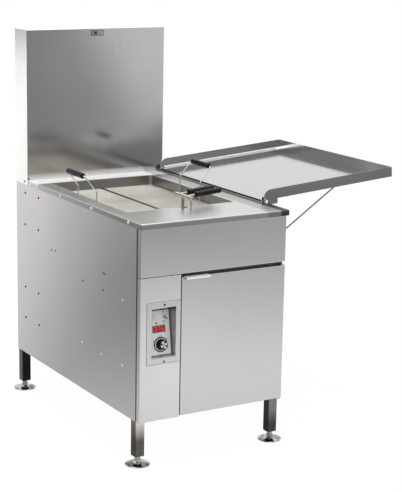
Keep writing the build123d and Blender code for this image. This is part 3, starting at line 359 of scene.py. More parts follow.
def maskedSteel(name, grain, masks, **change):
    # brushed steel whose tone and roughness change with one coordinate of the place or the facing, to paint light and
    # shade on it
    # mask: (source, part, edge, (tone, added roughness) above the edge, the same below it)
    material = brushedSteel(name, grain, **change)
    tree = material.node_tree
    shader = tree.nodes["Principled BSDF"]
    for source, part, edge, upper, lower in masks:
        if source == "facing":
            spot = tree.nodes.new("ShaderNodeNewGeometry").outputs["Normal"]
        else:
            spot = tree.nodes.new("ShaderNodeTexCoord").outputs["Object"]
        split = tree.nodes.new("ShaderNodeSeparateXYZ")
        tree.links.new(spot, split.inputs["Vector"])
        share = spread(tree, split.outputs[part], 0, 1, *edge)
        colour = shader.inputs["Base Color"].links[0].from_socket
        scaled = tree.nodes.new("ShaderNodeMix")
        scaled.data_type = "RGBA"
        scaled.blend_type = "MULTIPLY"
        scaled.inputs["Factor"].default_value = 1.0
        tree.links.new(colour, scaled.inputs[6])
        tree.links.new(blendColours(tree, share, (lower[0],) * 3, (upper[0],) * 3), scaled.inputs[7])
        tree.links.new(scaled.outputs[2], shader.inputs["Base Color"])
        rough = tree.nodes.new("ShaderNodeMath")
        tree.links.new(shader.inputs["Roughness"].links[0].from_socket, rough.inputs[0])
        tree.links.new(spread(tree, share, lower[1], upper[1], 0, 1), rough.inputs[1])
        tree.links.new(rough.outputs[0], shader.inputs["Roughness"])
        if len(upper) > 2:
            tree.links.new(spread(tree, share, lower[2], upper[2], 0, 1), shader.inputs["Metallic"])
    return material


def burntFrame():
    # the screen's frame: bright border, and a spine browned by the fat where |x - middle| is small
    material, tree, shader = newMaterial("burntFrame")
    grain = objectNoise(tree, 300, (1, 1, 1), 3.0)
    place = tree.nodes.new("ShaderNodeTexCoord")
    split = tree.nodes.new("ShaderNodeSeparateXYZ")
    tree.links.new(place.outputs["Object"], split.inputs["Vector"])
    apart = tree.nodes.new("ShaderNodeMath")
    apart.operation = "COMPARE"
    apart.inputs[1].default_value = -0.0275
    apart.inputs[2].default_value = 0.0075
    tree.links.new(split.outputs["X"], apart.inputs[0])
    bright = blendColours(tree, spread(tree, grain, 0, 1), (0.72, 0.69, 0.64), (0.88, 0.85, 0.80))
    tree.links.new(blendColours(tree, apart.outputs[0], bright, (0.16, 0.13, 0.10)), shader.inputs["Base Color"])
    shader.inputs["Metallic"].default_value = 1.0
    shader.inputs["Roughness"].default_value = 0.38
    return material


# looks of single solids that differ from their slot's usual finish; most of them paint light and shade by place or
# facing
ownLook = {
    # painted shade: a dark copy of the steel for the face frame, seen in the gap under the apron
    "face_frame": brushedSteel("shadedStainless", "Z", tone=(0.15, 0.15, 0.15), rough=0.35),
    # painted light on the deck: the front band below z 0.907 darker (painted shade), the part past x 0.22 darker
    # (painted shade), a near-black band past x 0.275 (painted shadow of the tray's lip), the rear strip past y 0.32
    # lighter and half matt (painted highlight), the upturn above the top darker (painted shade)
    "deck": maskedSteel("deckStainless", "X", [
        ("place", "Z", (0.907, 0.911), (1.0, 0.0), (0.64, -0.16)),
        ("place", "X", (0.214, 0.224), (0.68, 0.0), (1.0, 0.0)),
        ("place", "X", (0.272, 0.278), (0.25, 0.0), (1.0, 0.0)),
        ("place", "Y", (0.318, 0.326), (1.56, 0.10, 0.3), (1.0, 0.0, 1.0)),
        ("place", "Z", (0.9142, 0.9160), (0.50, 0.0), (1.0, 0.0))], rough=0.36, grainBump=0.03),
    # painted light on the tray: faces that look up a little darker and the rest a little lighter, the front strip
    # before y -0.394 darker (painted shade), and the lip along the hinge side, below x 0.2975, near black (painted
    # shadow of its gap at the deck)
    "tray_pan": maskedSteel("trayStainless", "X", [
        ("facing", "Z", (0.6, 0.9), (0.86, 0.0), (1.08, 0.05)),
        ("place", "Y", (-0.3942, -0.3936), (1.0, 0.0), (0.42, 0.0)),
        ("place", "X", (0.2965, 0.2985), (1.0, 0.0), (0.08, 0.2))], rough=0.11, grainBump=0.012),
    # painted light on the riser: faces that look left and faces that look up lighter than the rest
    "flue_riser": maskedSteel("riserStainless", "Z", [
        ("facing", "X", (-0.9, -0.5), (1.0, 0.0), (1.4, 0.0)),
        ("facing", "Z", (0.5, 0.9), (1.65, 0.1), (1.0, 0.0))], tone=(0.60, 0.595, 0.588), rough=0.14, grainBump=0.004),
    # painted light in the control recess: faces that look up lighter, and its top, from z 0.57 up, darker (painted
    # shade)
    "control_housing": maskedSteel("recessStainless", "Z", [
        ("facing", "Z", (0.5, 0.9), (1.5, 0.1), (1.0, 0.0)),
        ("place", "Z", (0.570, 0.597), (0.12, 0.0), (1.0, 0.0))], tone=(0.50, 0.49, 0.48), rough=0.45),
    # painted light on the front legs: their front faces lighter than the other faces, their upper part much lighter
    # than below
    "leg_front_left": maskedSteel("leftLeg", "Z", [
        ("facing", "Y", (-0.9, -0.5), (0.3, 0.0), (1.22, 0.0)),
        ("place", "Z", (0.095, 0.168), (6.0, 0.0), (1.0, 0.0))], tone=(0.105, 0.098, 0.090), rough=0.22, contrast=0.2),
    "leg_front_right": maskedSteel("rightLeg", "Z", [
        ("facing", "Y", (-0.9, -0.5), (0.08, 0.0), (1.0, 0.0)),
        ("place", "Z", (0.07, 0.13), (3.4, 0.0), (1.0, 0.0))], tone=(0.066, 0.062, 0.058), rough=0.22, contrast=0.2),
    # painted shade on the rear legs: dark copies of the leg steel; on the left one the faces that look left are lighter
    "leg_rear_left": maskedSteel("shadedLeg", "Z", [
        ("facing", "X", (-0.9, -0.5), (0.5, 0.0), (2.4, 0.0))], tone=(0.035, 0.033, 0.03), rough=0.25, contrast=0.2),
    "leg_rear_right": brushedSteel("farLeg", "Z", tone=(0.035, 0.033, 0.03), rough=0.25, contrast=0.2),
    # painted highlight on the pull: above z 0.694 a pale, mostly matt white, below it a metal of 0.6 of that tone
    "door_pull": maskedSteel("pullStainless", "X", [
        ("place", "Z", (0.6932, 0.6942), (1.0, 0.0, 0.2), (0.6, 0.0, 1.0))], tone=(1.0, 1.0, 1.0), rough=0.3),
    "tray_bail": brightMetal("staySteel", (0.30, 0.295, 0.285), 0.3),
    # painted shade on the lifter: its frame below z 0.944 darker and rougher than above z 0.95
    "lifter_frame": maskedSteel("lifterSteel", "X", [
        ("place", "Z", (0.944, 0.950), (1.0, 0.0), (0.42, 0.1))], tone=(0.74, 0.73, 0.70), rough=0.2),
    "control_panel": brushedSteel("panelStainless", "Z", tone=(0.72, 0.717, 0.712)),
    "hanger_hook": brushedSteel("hookSteel", "X", tone=(0.38, 0.375, 0.37), rough=0.12),
    "screen_frame": burntFrame(),
    "toggle_lever": moulded("toggleBlack", (0.02, 0.02, 0.022), 0.3, 400, 0.05),
}
# painted reflections on the feet: dark and pale patches for the mottled light their metal mirrors
for corner in ("front_left", "front_right", "rear_left", "rear_right"):
    ownLook["foot_" + corner] = patchedMetal("footPaintedReflection", (0.14, 0.135, 0.13), (0.62, 0.61, 0.60), 0.16, 42, 4.0)
slotOf = {entry["node"]: entry["material_slot"] for entry in frame["record"]["subparts"]}
for name, solid in nodes.items():
    solid.data.materials.clear()
    if name in ownLook:
        solid.data.materials.append(ownLook[name])
    elif grainOf.get(name, "Z") != "Z":
        solid.data.materials.append(grained[grainOf[name]])
    else:
        solid.data.materials.append(finishes[slotOf[name]])
print("finishes made")


def place(piece, body, slotName, material=None):
    piece.data.materials.clear()
    piece.data.materials.append(material or finishes[slotName])
    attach(piece, body)
    return piece


studio = {"floorHalf": 16.0, "backdrop": (0.50, 0.83, 0.24), "backdropLevel": 1.0, "roomLevel": 0.30,
          "backdropEdge": (0.42, 0.84), "overhead": 1.25, "overheadEdge": (0.38, 0.56), "softLevel": 0.75,
          "shadowShare": 0.05, "white": 1.02,
          "nearGlow": 1.0, "farGlow": 0.30, "glowCentre": (0.6, -1.5, 0), "glowReach": (0.2, 3.6),
          "patchCentre": (3.7, -5.4, 0), "patchGlow": 0.64, "patchReach": (0.6, 1.7),
          "sideGlow": (0.0, 1.3), "sideWay": (0.88, 0.47, 0), "sideReach": (-0.68, 0.45), "sideStart": (-0.3, 0.4)}


def studioWorld():
    # white where the backdrop stands and overhead, a grey room elsewhere, softer for matt surfaces
    world = bpy.data.worlds.new("studioWorld")
    bpy.context.scene.world = world
    world.use_nodes = True
    tree = world.node_tree
    output = tree.nodes["World Output"]
    lit = tree.nodes["Background"]
    seen = tree.nodes.new("ShaderNodeBackground")
    seen.inputs["Color"].default_value = (1, 1, 1, 1)
    ray = tree.nodes.new("ShaderNodeLightPath")
    direction = tree.nodes.new("ShaderNodeTexCoord")
    towards = tree.nodes.new("ShaderNodeVectorMath")
    towards.operation = "DOT_PRODUCT"
    towards.inputs[1].default_value = Vector(studio["backdrop"]).normalized()
    tree.links.new(direction.outputs["Generated"], towards.inputs[0])
    level = spread(tree, towards.outputs["Value"], studio["roomLevel"], studio["backdropLevel"],
                   *studio["backdropEdge"])
    split = tree.nodes.new("ShaderNodeSeparateXYZ")
    tree.links.new(direction.outputs["Generated"], split.inputs["Vector"])
    above = spread(tree, split.outputs["Z"], 0, studio["overhead"], *studio["overheadEdge"])
    most = tree.nodes.new("ShaderNodeMath")
    most.operation = "MAXIMUM"
    tree.links.new(level, most.inputs[0])
    tree.links.new(above, most.inputs[1])
    lit.inputs["Color"].default_value = (1, 1, 1, 1)
    tree.links.new(most.outputs[0], lit.inputs["Strength"])
    soft = tree.nodes.new("ShaderNodeBackground")
    soft.inputs["Color"].default_value = (1, 1, 1, 1)
    soft.inputs["Strength"].default_value = studio["softLevel"]
    last = lit
    for kind, other in (("Is Diffuse Ray", soft), ("Is Camera Ray", seen)):
        mix = tree.nodes.new("ShaderNodeMixShader")
        tree.links.new(ray.outputs[kind], mix.inputs["Fac"])
        tree.links.new(last.outputs[0], mix.inputs[1])
        tree.links.new(other.outputs[0], mix.inputs[2])
        last = mix
    tree.links.new(last.outputs[0], output.inputs["Surface"])


def studioFloor():
    # a pale floor, white to the camera, that fades with distance in what the metal shows of it
    far = studio["floorHalf"]
    grid = np.array([[(-far, -far, 0), (-far, far, 0)], [(far, -far, 0), (far, far, 0)]], float)
    floor = surface("studioFloor", [grid])
    material, tree, shader = newMaterial("studioFloor")
    tree.nodes.remove(shader)
    matt = tree.nodes.new("ShaderNodeBsdfDiffuse")
    matt.inputs["Color"].default_value = (0.8, 0.8, 0.8, 1)
    white = tree.nodes.new("ShaderNodeEmission")
    glow = tree.nodes.new("ShaderNodeEmission")
    spot = tree.nodes.new("ShaderNodeTexCoord")

    def glowAround(centre, near, away, reach):
        apart = tree.nodes.new("ShaderNodeVectorMath")
        apart.operation = "DISTANCE"
        apart.inputs[1].default_value = centre
        tree.links.new(spot.outputs["Object"], apart.inputs[0])
        return spread(tree, apart.outputs["Value"], near, away, *reach)

    def brighter(first, second):
        most = tree.nodes.new("ShaderNodeMath")
        most.operation = "MAXIMUM"
        tree.links.new(first, most.inputs[0])
        tree.links.new(second, most.inputs[1])
        return most.outputs[0]

    front = brighter(glowAround(studio["glowCentre"], studio["nearGlow"], studio["farGlow"], studio["glowReach"]),
                     glowAround(studio["patchCentre"], studio["patchGlow"], 0, studio["patchReach"]))
    along = tree.nodes.new("ShaderNodeVectorMath")
    along.operation = "DOT_PRODUCT"
    along.inputs[1].default_value = studio["sideWay"]
    tree.links.new(spot.outputs["Object"], along.inputs[0])
    split = tree.nodes.new("ShaderNodeSeparateXYZ")
    tree.links.new(spot.outputs["Object"], split.inputs["Vector"])
    side = tree.nodes.new("ShaderNodeMath")
    side.operation = "MULTIPLY"
    tree.links.new(spread(tree, along.outputs["Value"], *studio["sideGlow"], *studio["sideReach"]), side.inputs[0])
    tree.links.new(spread(tree, split.outputs["Y"], 0, 1, *studio["sideStart"]), side.inputs[1])
    tree.links.new(brighter(front, side.outputs[0]), glow.inputs["Strength"])
    white.inputs["Strength"].default_value = studio["white"]
    ray = tree.nodes.new("ShaderNodeLightPath")

    def mixed(factor, first, second):
        mix = tree.nodes.new("ShaderNodeMixShader")
        if isinstance(factor, float):
            mix.inputs["Fac"].default_value = factor
        else:
            tree.links.new(factor, mix.inputs["Fac"])
        tree.links.new(first.outputs[0], mix.inputs[1])
        tree.links.new(second.outputs[0], mix.inputs[2])
        return mix

    seen = mixed(studio["shadowShare"], white, matt)
    shown = mixed(ray.outputs["Is Camera Ray"], matt, seen)
    mirrored = mixed(ray.outputs["Is Glossy Ray"], shown, glow)
    tree.links.new(mirrored.outputs[0], tree.nodes["Material Output"].inputs["Surface"])
    floor.data.materials.append(material)


lamps = {"overhead": {"at": (-0.4, -0.4, 3.4), "to": (0.1, 0, 0.8), "size": (2.2, 2.2), "watts": 34},
         "farRight": {"at": (4.85, -6.2, 0.7), "to": (0.2, 0.4, 1.2), "size": (2.3, 2.4), "watts": 9.8, "roll": 33}}


def studioLamp(name, look):
    data = bpy.data.lights.new(name, "AREA")
    data.shape = "RECTANGLE"
    data.size, data.size_y = look["size"]
    data.energy = look["watts"]
    lamp = bpy.data.objects.new(name, data)
    aim = Vector(look["to"]) - Vector(look["at"])
    facing = aim.to_track_quat("-Z", "Y").to_matrix() @ Matrix.Rotation(math.radians(look.get("roll", 0)), 3, "Z")
    lamp.matrix_world = Matrix.Translation(look["at"]) @ facing.to_4x4()
    lamp.visible_camera = False
    bpy.context.scene.collection.objects.link(lamp)


studioWorld()
studioFloor()
for name, look in lamps.items():
    studioLamp(name, look)
print("studio built")


screwLook = {"radius": 0.0042, "dome": 0.0022, "slotHalf": 0.0008, "slotReach": 0.62, "slotDepth": 0.0010}


def screwHeads(centres, axis, radius=None):
    # domed head h(r) = dome (1 - (r/R)^2)^0.5 with a cross recess where |x| or |y| is small
    look = screwLook
    radius = radius or look["radius"]
    axis, first, second = across(axis)
    r = np.array([1.0, 1.0, 0.93, 0.78, look["slotReach"], 0.5, 0.3, 0.12, 0.0])
    t = np.linspace(0, 2 * np.pi, 24, endpoint=False)
    x, y = r[:, None] * np.cos(t), r[:, None] * np.sin(t)
    dome = look["dome"] * radius / look["radius"]
    h = dome * (0.35 + 0.65 * np.sqrt(np.clip(1 - r ** 2, 0, 1)))[:, None] * np.ones_like(x)
    h[0] = 0
    cross = (np.minimum(np.abs(x), np.abs(y)) < look["slotHalf"] / radius * 1.1) & (r[:, None] < look["slotReach"] - 0.01)
    h = np.where(cross, h - look["slotDepth"] * radius / look["radius"], h)
    shape = radius * (x[..., None] * first + y[..., None] * second) + h[..., None] * axis
    return np.atleast_2d(centres)[:, None, None, :] + shape[None]


half, flange = fryer["half"], fryer["flange"]
sideScrewPlaces = [(0.4545, 0.856), (0.3235, 0.857), (0.4575, 0.724), (0.3255, 0.725), (0.4595, 0.459),
                   (0.3285, 0.460), (0.4575, 0.328), (0.3235, 0.327)]
studPlaces = [(0.2015, 0.668), (0.1665, 0.672), (-0.0815, 0.606), (-0.2515, 0.673), (-0.2675, 0.673),
              (-0.2525, 0.608), (-0.4105, 0.608), (-0.0745, 0.360), (-0.2415, 0.357), (-0.4115, 0.359)]
deckScrewPlaces = [(0.1125, 0.902), (-0.1585, 0.901), (-0.4545, 0.904), (0.3965, 0.900)]
# painted light on the screw heads: those where shade falls take a dark copy (painted shade), those that catch the light
# a pale one (painted highlight)
heads, darkHeads, paleHeads = [], [], []
for side in (-1, 1):
    out = (side, 0, 0)
    darkHeads.append(screwHeads([(side * half, y, z) for y, z in sideScrewPlaces], out, 0.0046))
    paleHeads.append(screwHeads([(side * flange, y, z) for y, z in deckScrewPlaces], out, 0.0058))
    darkHeads.append(screwHeads([(side * flange, 0.4545, 0.904)], out, 0.0042))
    darkHeads.append(screwHeads([(side * half, y, z) for y, z in studPlaces if z > 0.5 and y > -0.4], out, 0.0034))
    paleHeads.append(screwHeads([(side * half, y, z) for y, z in studPlaces if z < 0.5 or y < -0.4], out, 0.0040))
rearPlaces = [(x, fryer["rear"], z) for x in (-0.296, -0.1, 0.1, 0.296) for z in (0.19, 0.54, 0.87)]
heads.append(screwHeads(rearPlaces, (0, 1, 0), 0.0042))
riserPlaces = [(x, fryer["riserRear"], z) for x in (-0.298, 0.298) for z in (0.93, 1.08, 1.23, 1.38, 1.50)]
heads.append(screwHeads(riserPlaces, (0, 1, 0), 0.0042))
place(surface("panelScrews", heads, False, True, 50), "cabinet", "foot_steel")
bezelPlaces = [(-0.209, fryer["front"] - 0.0015, z) for z in (0.608, 0.395)]
# painted shade: a dark copy for screw heads in shade, the bezel's included
screwPaintedShade = brightMetal("screwPaintedShade", (0.10, 0.095, 0.09), 0.45)
place(surface("darkScrews", darkHeads, False, True, 50), "cabinet", "foot_steel", screwPaintedShade)
# painted highlight: a pale, half-matt copy for screw heads that catch the light
place(surface("paleScrews", paleHeads, False, True, 50), "cabinet", "foot_steel",
      moulded("screwPaintedHighlight", (0.95, 0.95, 0.94), 0.3, 500, 0.02, metallic=0.4))
place(surface("bezelScrews", [screwHeads(bezelPlaces, (0, -1, 0), 0.0040)], False, True, 50), "cabinet", "foot_steel",
      screwPaintedShade)
print("screws placed")


footSleeve = {"inner": 0.0062, "outer": 0.0105, "low": 0.0205, "high": 0.0343, "edge": 0.0008}
for corner in ("front_left", "front_right", "rear_left", "rear_right"):
    low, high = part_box("foot_" + corner)
    centre = ((low[0] + high[0]) / 2, (low[1] + high[1]) / 2, 0)
    inner, outer, edge = footSleeve["inner"], footSleeve["outer"], footSleeve["edge"]
    profile = [(inner, footSleeve["low"]), (outer - edge, footSleeve["low"]), (outer, footSleeve["low"] + edge),
               (outer, footSleeve["high"] - edge), (outer - edge, footSleeve["high"]), (inner, footSleeve["high"])]
    place(surface("footSleeve_" + corner, [turned(profile, [centre], (0, 0, 1), 32)], True, True, 30),
          "foot_" + corner, "foot_steel", ownLook["foot_" + corner])
print("feet sleeved")


wovenScreen = {"pitch": 0.0048, "wire": 0.0011, "wave": 0.0006, "inset": 0.0004, "spineHalf": 0.0062}


def wovenWires():
    # two halves beside the spine; each wire is p(s) with height a cos(pi s / pitch), its neighbour half a wave on
    look = wovenScreen
    wire = look["wire"]
    grids = []
    for side in (-1, 1):
        low, high = (np.array(v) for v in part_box("screen_mesh"))
        spine = (low[0] + high[0]) / 2
        low[:2] += look["inset"]
        high[:2] -= look["inset"]
        if side < 0:
            high[0] = spine - look["spineHalf"]
        else:
            low[0] = spine + look["spineHalf"]
        grids.extend(weave(low, high, look))
    return grids


def weave(low, high, look):
    wire = look["wire"]
    middle = high[2] - wire - look["wave"]
    grids = []
    for run, over in ((0, 1), (1, 0)):
        crossings = np.arange(low[run], high[run], look["pitch"])
        lines = np.arange(low[over] + look["pitch"] / 2, high[over], look["pitch"])
        k, j = np.meshgrid(np.arange(len(crossings)), np.arange(len(lines)))
        wave = np.cos(np.pi * (k + j + run)) * look["wave"]
        t = np.linspace(0, 2 * np.pi, 3, endpoint=False) + np.pi / 2
        grid = np.zeros((*k.shape, len(t), 3))
        grid[..., run] = crossings[k][..., None]
        grid[..., over] = lines[j][..., None] + wire * np.cos(t)
        grid[..., 2] = middle + wave[..., None] + wire * np.sin(t)
        grids.append(grid)
    return grids


screen = surface("wovenScreen", wovenWires(), False, True, 60)
place(screen, "screen", "mesh_steel")
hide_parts("screen_mesh")
print("screen woven")


gripLook = {"radius": 0.0100, "collar": 0.0110, "swell": 0.0011, "bore": 0.0026, "rows": 40}


def gripSleeve(start, direction, length, bore):
    # r(s) = neck + swell sin(pi s), raised to a rounded collar at each end
    look = gripLook
    s = np.linspace(0, 1, look["rows"])
    radius = look["radius"] + look["swell"] * np.sin(np.pi * s) ** 2
    for end in (0.045, 0.955):
        radius += (look["collar"] - look["radius"]) * np.exp(-((s - end) / 0.028) ** 2)
    tip = np.clip(np.minimum(s, 1 - s) / 0.02, 0, 1)
    radius = bore + (radius - bore) * np.sqrt(1 - (1 - tip) ** 2)
    profile = np.stack([radius, s * length], -1)
    inner = np.array([(bore, length), (bore, 0)])
    return turned(np.concatenate([profile, inner]), [start], direction, 28)


def gripPair(name, node, starts, direction, length, bore, body):
    piece = surface(name, [gripSleeve(start, direction, length, bore) for start in starts], False, True, 50)
    place(piece, body, "black_grip")
    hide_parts(node)


low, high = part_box("screen_grips")
gripY = (low[1], high[1])
gripZ = (low[2] + high[2]) / 2
gripHalf = (high[2] - low[2]) / 2
gripPair("screenGripSleeves", "screen_grips", [(low[0] + gripHalf, gripY[0], gripZ), (high[0] - gripHalf, gripY[0], gripZ)],
         (0, 1, 0), gripY[1] - gripY[0], 0.0026, "screen")
lifter = {"turn": math.radians(18), "x": -0.0245, "y": (-0.3715, -0.3175), "rod": 0.042, "z": 0.9615, "grip": 0.144}
lifterWay = (math.cos(lifter["turn"]), math.sin(lifter["turn"]), 0)
lifterStarts = [(lifter["x"] + lifter["rod"] * lifterWay[0], y + lifter["rod"] * lifterWay[1], lifter["z"])
                for y in lifter["y"]]
gripPair("lifterGripSleeves", "lifter_grips", lifterStarts, lifterWay, lifter["grip"], 0.0034, "lifter")
print("grips turned")


# the sloping control face: a point at (u, v) on it, r out of it
controlFace = {"centre": (-0.211, -0.5035, 0.5035), "rise": 0.187, "lean": 0.028, "size": (0.0994, 0.1848)}
leanAngle = math.atan2(controlFace["lean"], controlFace["rise"])
faceOut = np.array((0, -math.cos(leanAngle), math.sin(leanAngle)))
faceUp = np.array((0, math.sin(leanAngle), math.cos(leanAngle)))
faceAlong = np.array((1.0, 0, 0))


def onFace(u, v, r=0.0):
    return np.array(controlFace["centre"]) + u * faceAlong + v * faceUp + r * faceOut


def rimPlate(origin, along, up, out, outer, inner, corner, thick, steps=5):
    # a flat frame: outer and inner rounded rectangles joined over the top and underneath
    def loop(size, radius, height):
        t = np.linspace(0, np.pi / 2, steps)
        w, h = size[0] / 2 - radius, size[1] / 2 - radius
        quarter = [(w, h, 0), (-w, h, 1), (-w, -h, 2), (w, -h, 3)]
        rows = [np.stack([x + radius * np.cos(t + k * np.pi / 2), y + radius * np.sin(t + k * np.pi / 2)], -1)
                for x, y, k in quarter]
        flat = np.concatenate(rows)
        return origin + flat[:, :1] * along + flat[:, 1:] * up + height * out
    rings = [loop(outer, corner, 0), loop(outer, corner, thick), loop(inner, max(corner * 0.5, 1e-4), thick),
             loop(inner, max(corner * 0.5, 1e-4), 0)]
    return np.array(rings)


faceBorder = {"thick": 0.0002, "side": 0.0040, "top": 0.0042, "topAt": 0.0745, "foot": 0.0016, "inset": 0.0004}
halfWide, halfTall = controlFace["size"][0] / 2 - faceBorder["inset"], controlFace["size"][1] / 2 - faceBorder["inset"]
strips = []
for u, v, wide, tall in ((halfWide - faceBorder["side"] / 2, 0, faceBorder["side"], 2 * halfTall),
                         (faceBorder["side"] / 2 - halfWide, 0, faceBorder["side"], 2 * halfTall),
                         (0, faceBorder["topAt"], 2 * (halfWide - faceBorder["side"]), faceBorder["top"]),
                         (0, faceBorder["foot"] / 2 - halfTall, 2 * (halfWide - faceBorder["side"]), faceBorder["foot"])):
    strips.append(bevelPlate(onFace(u, v), faceAlong, faceUp, faceOut, (wide, tall), faceBorder["thick"], 0.00005, 0.0002))
maroonInk = moulded("maroonInk", (0.11, 0.012, 0.02), 0.4, 500, 0.02)
place(surface("faceBorder", strips, False, True, 30), "cabinet", "control_face_grey", maroonInk)

displayFrame = {"outer": (0.0530, 0.0258), "inner": (0.0486, 0.0210), "corner": 0.002, "thick": 0.0016,
                "at": (0, 0.005)}
frameGrid = rimPlate(onFace(*displayFrame["at"]), faceAlong, faceUp, faceOut, displayFrame["outer"],
                     displayFrame["inner"], displayFrame["corner"], displayFrame["thick"])
place(surface("displayFrame", [frameGrid], True, True, 30), "cabinet", "knob_black",
      moulded("frameBrown", (0.22, 0.13, 0.13), 0.4, 500, 0.03))

# strokes of the plain figures and of the words at the switch, in a box 0.6 wide and 1 high
segments = {"a": (0, 1, .6, 1), "b": (.6, 1, .6, .5), "c": (.6, .5, .6, 0), "d": (0, 0, .6, 0), "e": (0, 0, 0, .5),
            "f": (0, .5, 0, 1), "g": (0, .5, .6, .5), "n": (0, 1, .6, 0)}
figures = {"0": "abcdef", "1": "bc", "2": "abged", "3": "abgcd", "4": "fgbc", "5": "afgcd", "6": "afgedc", "7": "abc",
           "8": "abcdefg", "9": "abcdfg", "O": "abcdef", "N": "efnbc", "F": "aefg"}


def writing(text, centre, height, thick, along, up, gap=0.32):
    # each stroke is a short square bar carried along its line
    advance = (0.6 + gap) * height
    start = -(advance * len(text) - gap * height) / 2
    bars = []
    for k, letter in enumerate(text):
        for stroke in figures[letter]:
            x0, y0, x1, y1 = segments[stroke]
            ends = [centre + (start + k * advance + x * height) * along + (y - 0.5) * height * up
                    for x, y in ((x0, y0), (x1, y1))]
            bars.append(carried(ends, thick, 4))
    return bars


displayDigits = {"text": "375", "height": 0.0155, "thick": 0.0009, "out": 0.0011}
digits = writing(displayDigits["text"], onFace(0, 0.005, displayDigits["out"]), displayDigits["height"],
                 displayDigits["thick"], faceAlong, faceUp, 0.35)
litMaterial, litTree, litShader = newMaterial("litRed")
litShader.inputs["Base Color"].default_value = (0.55, 0.06, 0.08, 1)
litShader.inputs["Emission Color"].default_value = (1.0, 0.10, 0.12, 1)
litShader.inputs["Emission Strength"].default_value = 0.45
place(surface("displayDigits", digits, False, True, 30), "cabinet", "display_red", litMaterial)

blackInk = moulded("blackInk", (0.03, 0.03, 0.032), 0.5, 500, 0.0)
switchWords = {"height": 0.0042, "thick": 0.00035, "at": 0.023, "on": 0.0655, "off": 0.0305}
words = (writing("ON", onFace(switchWords["at"], switchWords["on"], 0.0001), switchWords["height"],
                 switchWords["thick"], faceAlong, faceUp, 0.3)
         + writing("OFF", onFace(switchWords["at"], switchWords["off"], 0.0001), switchWords["height"],
                   switchWords["thick"], faceAlong, faceUp, 0.3))
place(surface("switchWords", words, False, True, 30), "cabinet", "dial_scale", blackInk)

# dial: a pale face on the black plate, ticks every 15 degrees and plain figures
dial = {"at": (0.004, -0.0525), "face": 0.0240, "thick": 0.00025, "plate": 0.0010, "tick": (0.0215, 0.0236),
        "long": 0.0205, "from": -30, "to": 210, "marks": 17, "figureRadius": 0.0325, "figure": 0.0027,
        "numbers": ("200", "250", "300", "350", "400")}
dialCentre = onFace(*dial["at"], dial["plate"])
profile = [(0.0, 0.0), (dial["face"] - 0.0002, 0.0), (dial["face"], 0.0001), (dial["face"] - 0.0001, dial["thick"]),
           (0.0, dial["thick"])]
place(surface("dialFace", [turned(profile, [dialCentre], faceOut, 72)], False, True, 30), "cabinet",
      "control_face_grey", moulded("dialPale", (0.74, 0.74, 0.74), 0.4, 500, 0.0))
marks = []
for k in range(dial["marks"]):
    angle = math.radians(dial["to"] + (dial["from"] - dial["to"]) * k / (dial["marks"] - 1))
    way = math.cos(angle) * faceAlong + math.sin(angle) * faceUp
    inner = dial["long"] if k % 4 == 0 else dial["tick"][0]
    marks.append(carried([dialCentre + r * way + dial["thick"] * faceOut for r in (inner, dial["tick"][1])], 0.0003, 4))
place(surface("dialMarks", marks, False, True, 30), "cabinet", "dial_scale", blackInk)
numbers = []
for k, number in enumerate(dial["numbers"]):
    angle = math.radians(dial["to"] + (dial["from"] - dial["to"]) * k / (len(dial["numbers"]) - 1))
    spot = onFace(dial["at"][0] + dial["figureRadius"] * math.cos(angle),
                  dial["at"][1] + dial["figureRadius"] * math.sin(angle), 0.0001)
    numbers.extend(writing(number, spot, dial["figure"], 0.00022, faceAlong, faceUp, 0.3))
place(surface("dialNumbers", numbers, False, True, 30), "cabinet", "dial_scale", blackInk)
# painted shadow: a dark strip round the bezel, where its plate stands on the panel
bezelSeam = {"centre": (-0.211, -0.5395, 0.5035), "outer": (0.1414, 0.2334), "inner": (0.1380, 0.2300), "thick": 0.0007}
seamGrid = rimPlate(np.array(bezelSeam["centre"]), faceAlong, np.array((0, 0, 1.0)), np.array((0, -1.0, 0)),
                    bezelSeam["outer"], bezelSeam["inner"], 0.0008, bezelSeam["thick"])
place(surface("bezelSeam", [seamGrid], True, True, 30), "cabinet", "grey_plastic",
      moulded("bezelPaintedShadow", (0.12, 0.12, 0.12), 0.6, 300, 0.05))

# skirt of the knob: r(t, h) = profile (1 + flute cos 36 t), a closed ring round the knob's foot
knobSkirt = {"profile": ((0.0182, 0.0019), (0.0203, 0.0019), (0.0206, 0.0026), (0.0202, 0.0056), (0.0190, 0.0070),
                         (0.0182, 0.0070)), "flute": 0.012, "flutes": 36, "steps": 288}
t = np.linspace(0, 2 * np.pi, knobSkirt["steps"], endpoint=False)
radius, height = np.array(knobSkirt["profile"]).T
fluted = radius[:, None] * (1 + knobSkirt["flute"] * np.cos(knobSkirt["flutes"] * t) * (radius > 0.0185)[:, None])
skirtGrid = (onFace(*dial["at"]) + (fluted * np.cos(t))[..., None] * faceAlong + (fluted * np.sin(t))[..., None] * faceUp
             + height[:, None, None] * faceOut)
place(surface("knobSkirt", [skirtGrid], True, True, 50), "knob", "knob_black")

# shadow gap of the hook's plate on the riser
hookSeam = {"centre": (0, 0.4225, 1.502), "outer": (0.0570, 0.0230), "inner": (0.0532, 0.0192), "thick": 0.0008}
hookGrid = rimPlate(np.array(hookSeam["centre"]), faceAlong, np.array((0, 0, 1.0)), np.array((0, -1.0, 0)),
                    hookSeam["outer"], hookSeam["inner"], 0.0010, hookSeam["thick"])
place(surface("hookSeam", [hookGrid], True, True, 30), "cabinet", "grey_plastic",
      moulded("hookShade", (0.03, 0.03, 0.03), 0.6, 300, 0.05))
print("controls dressed")

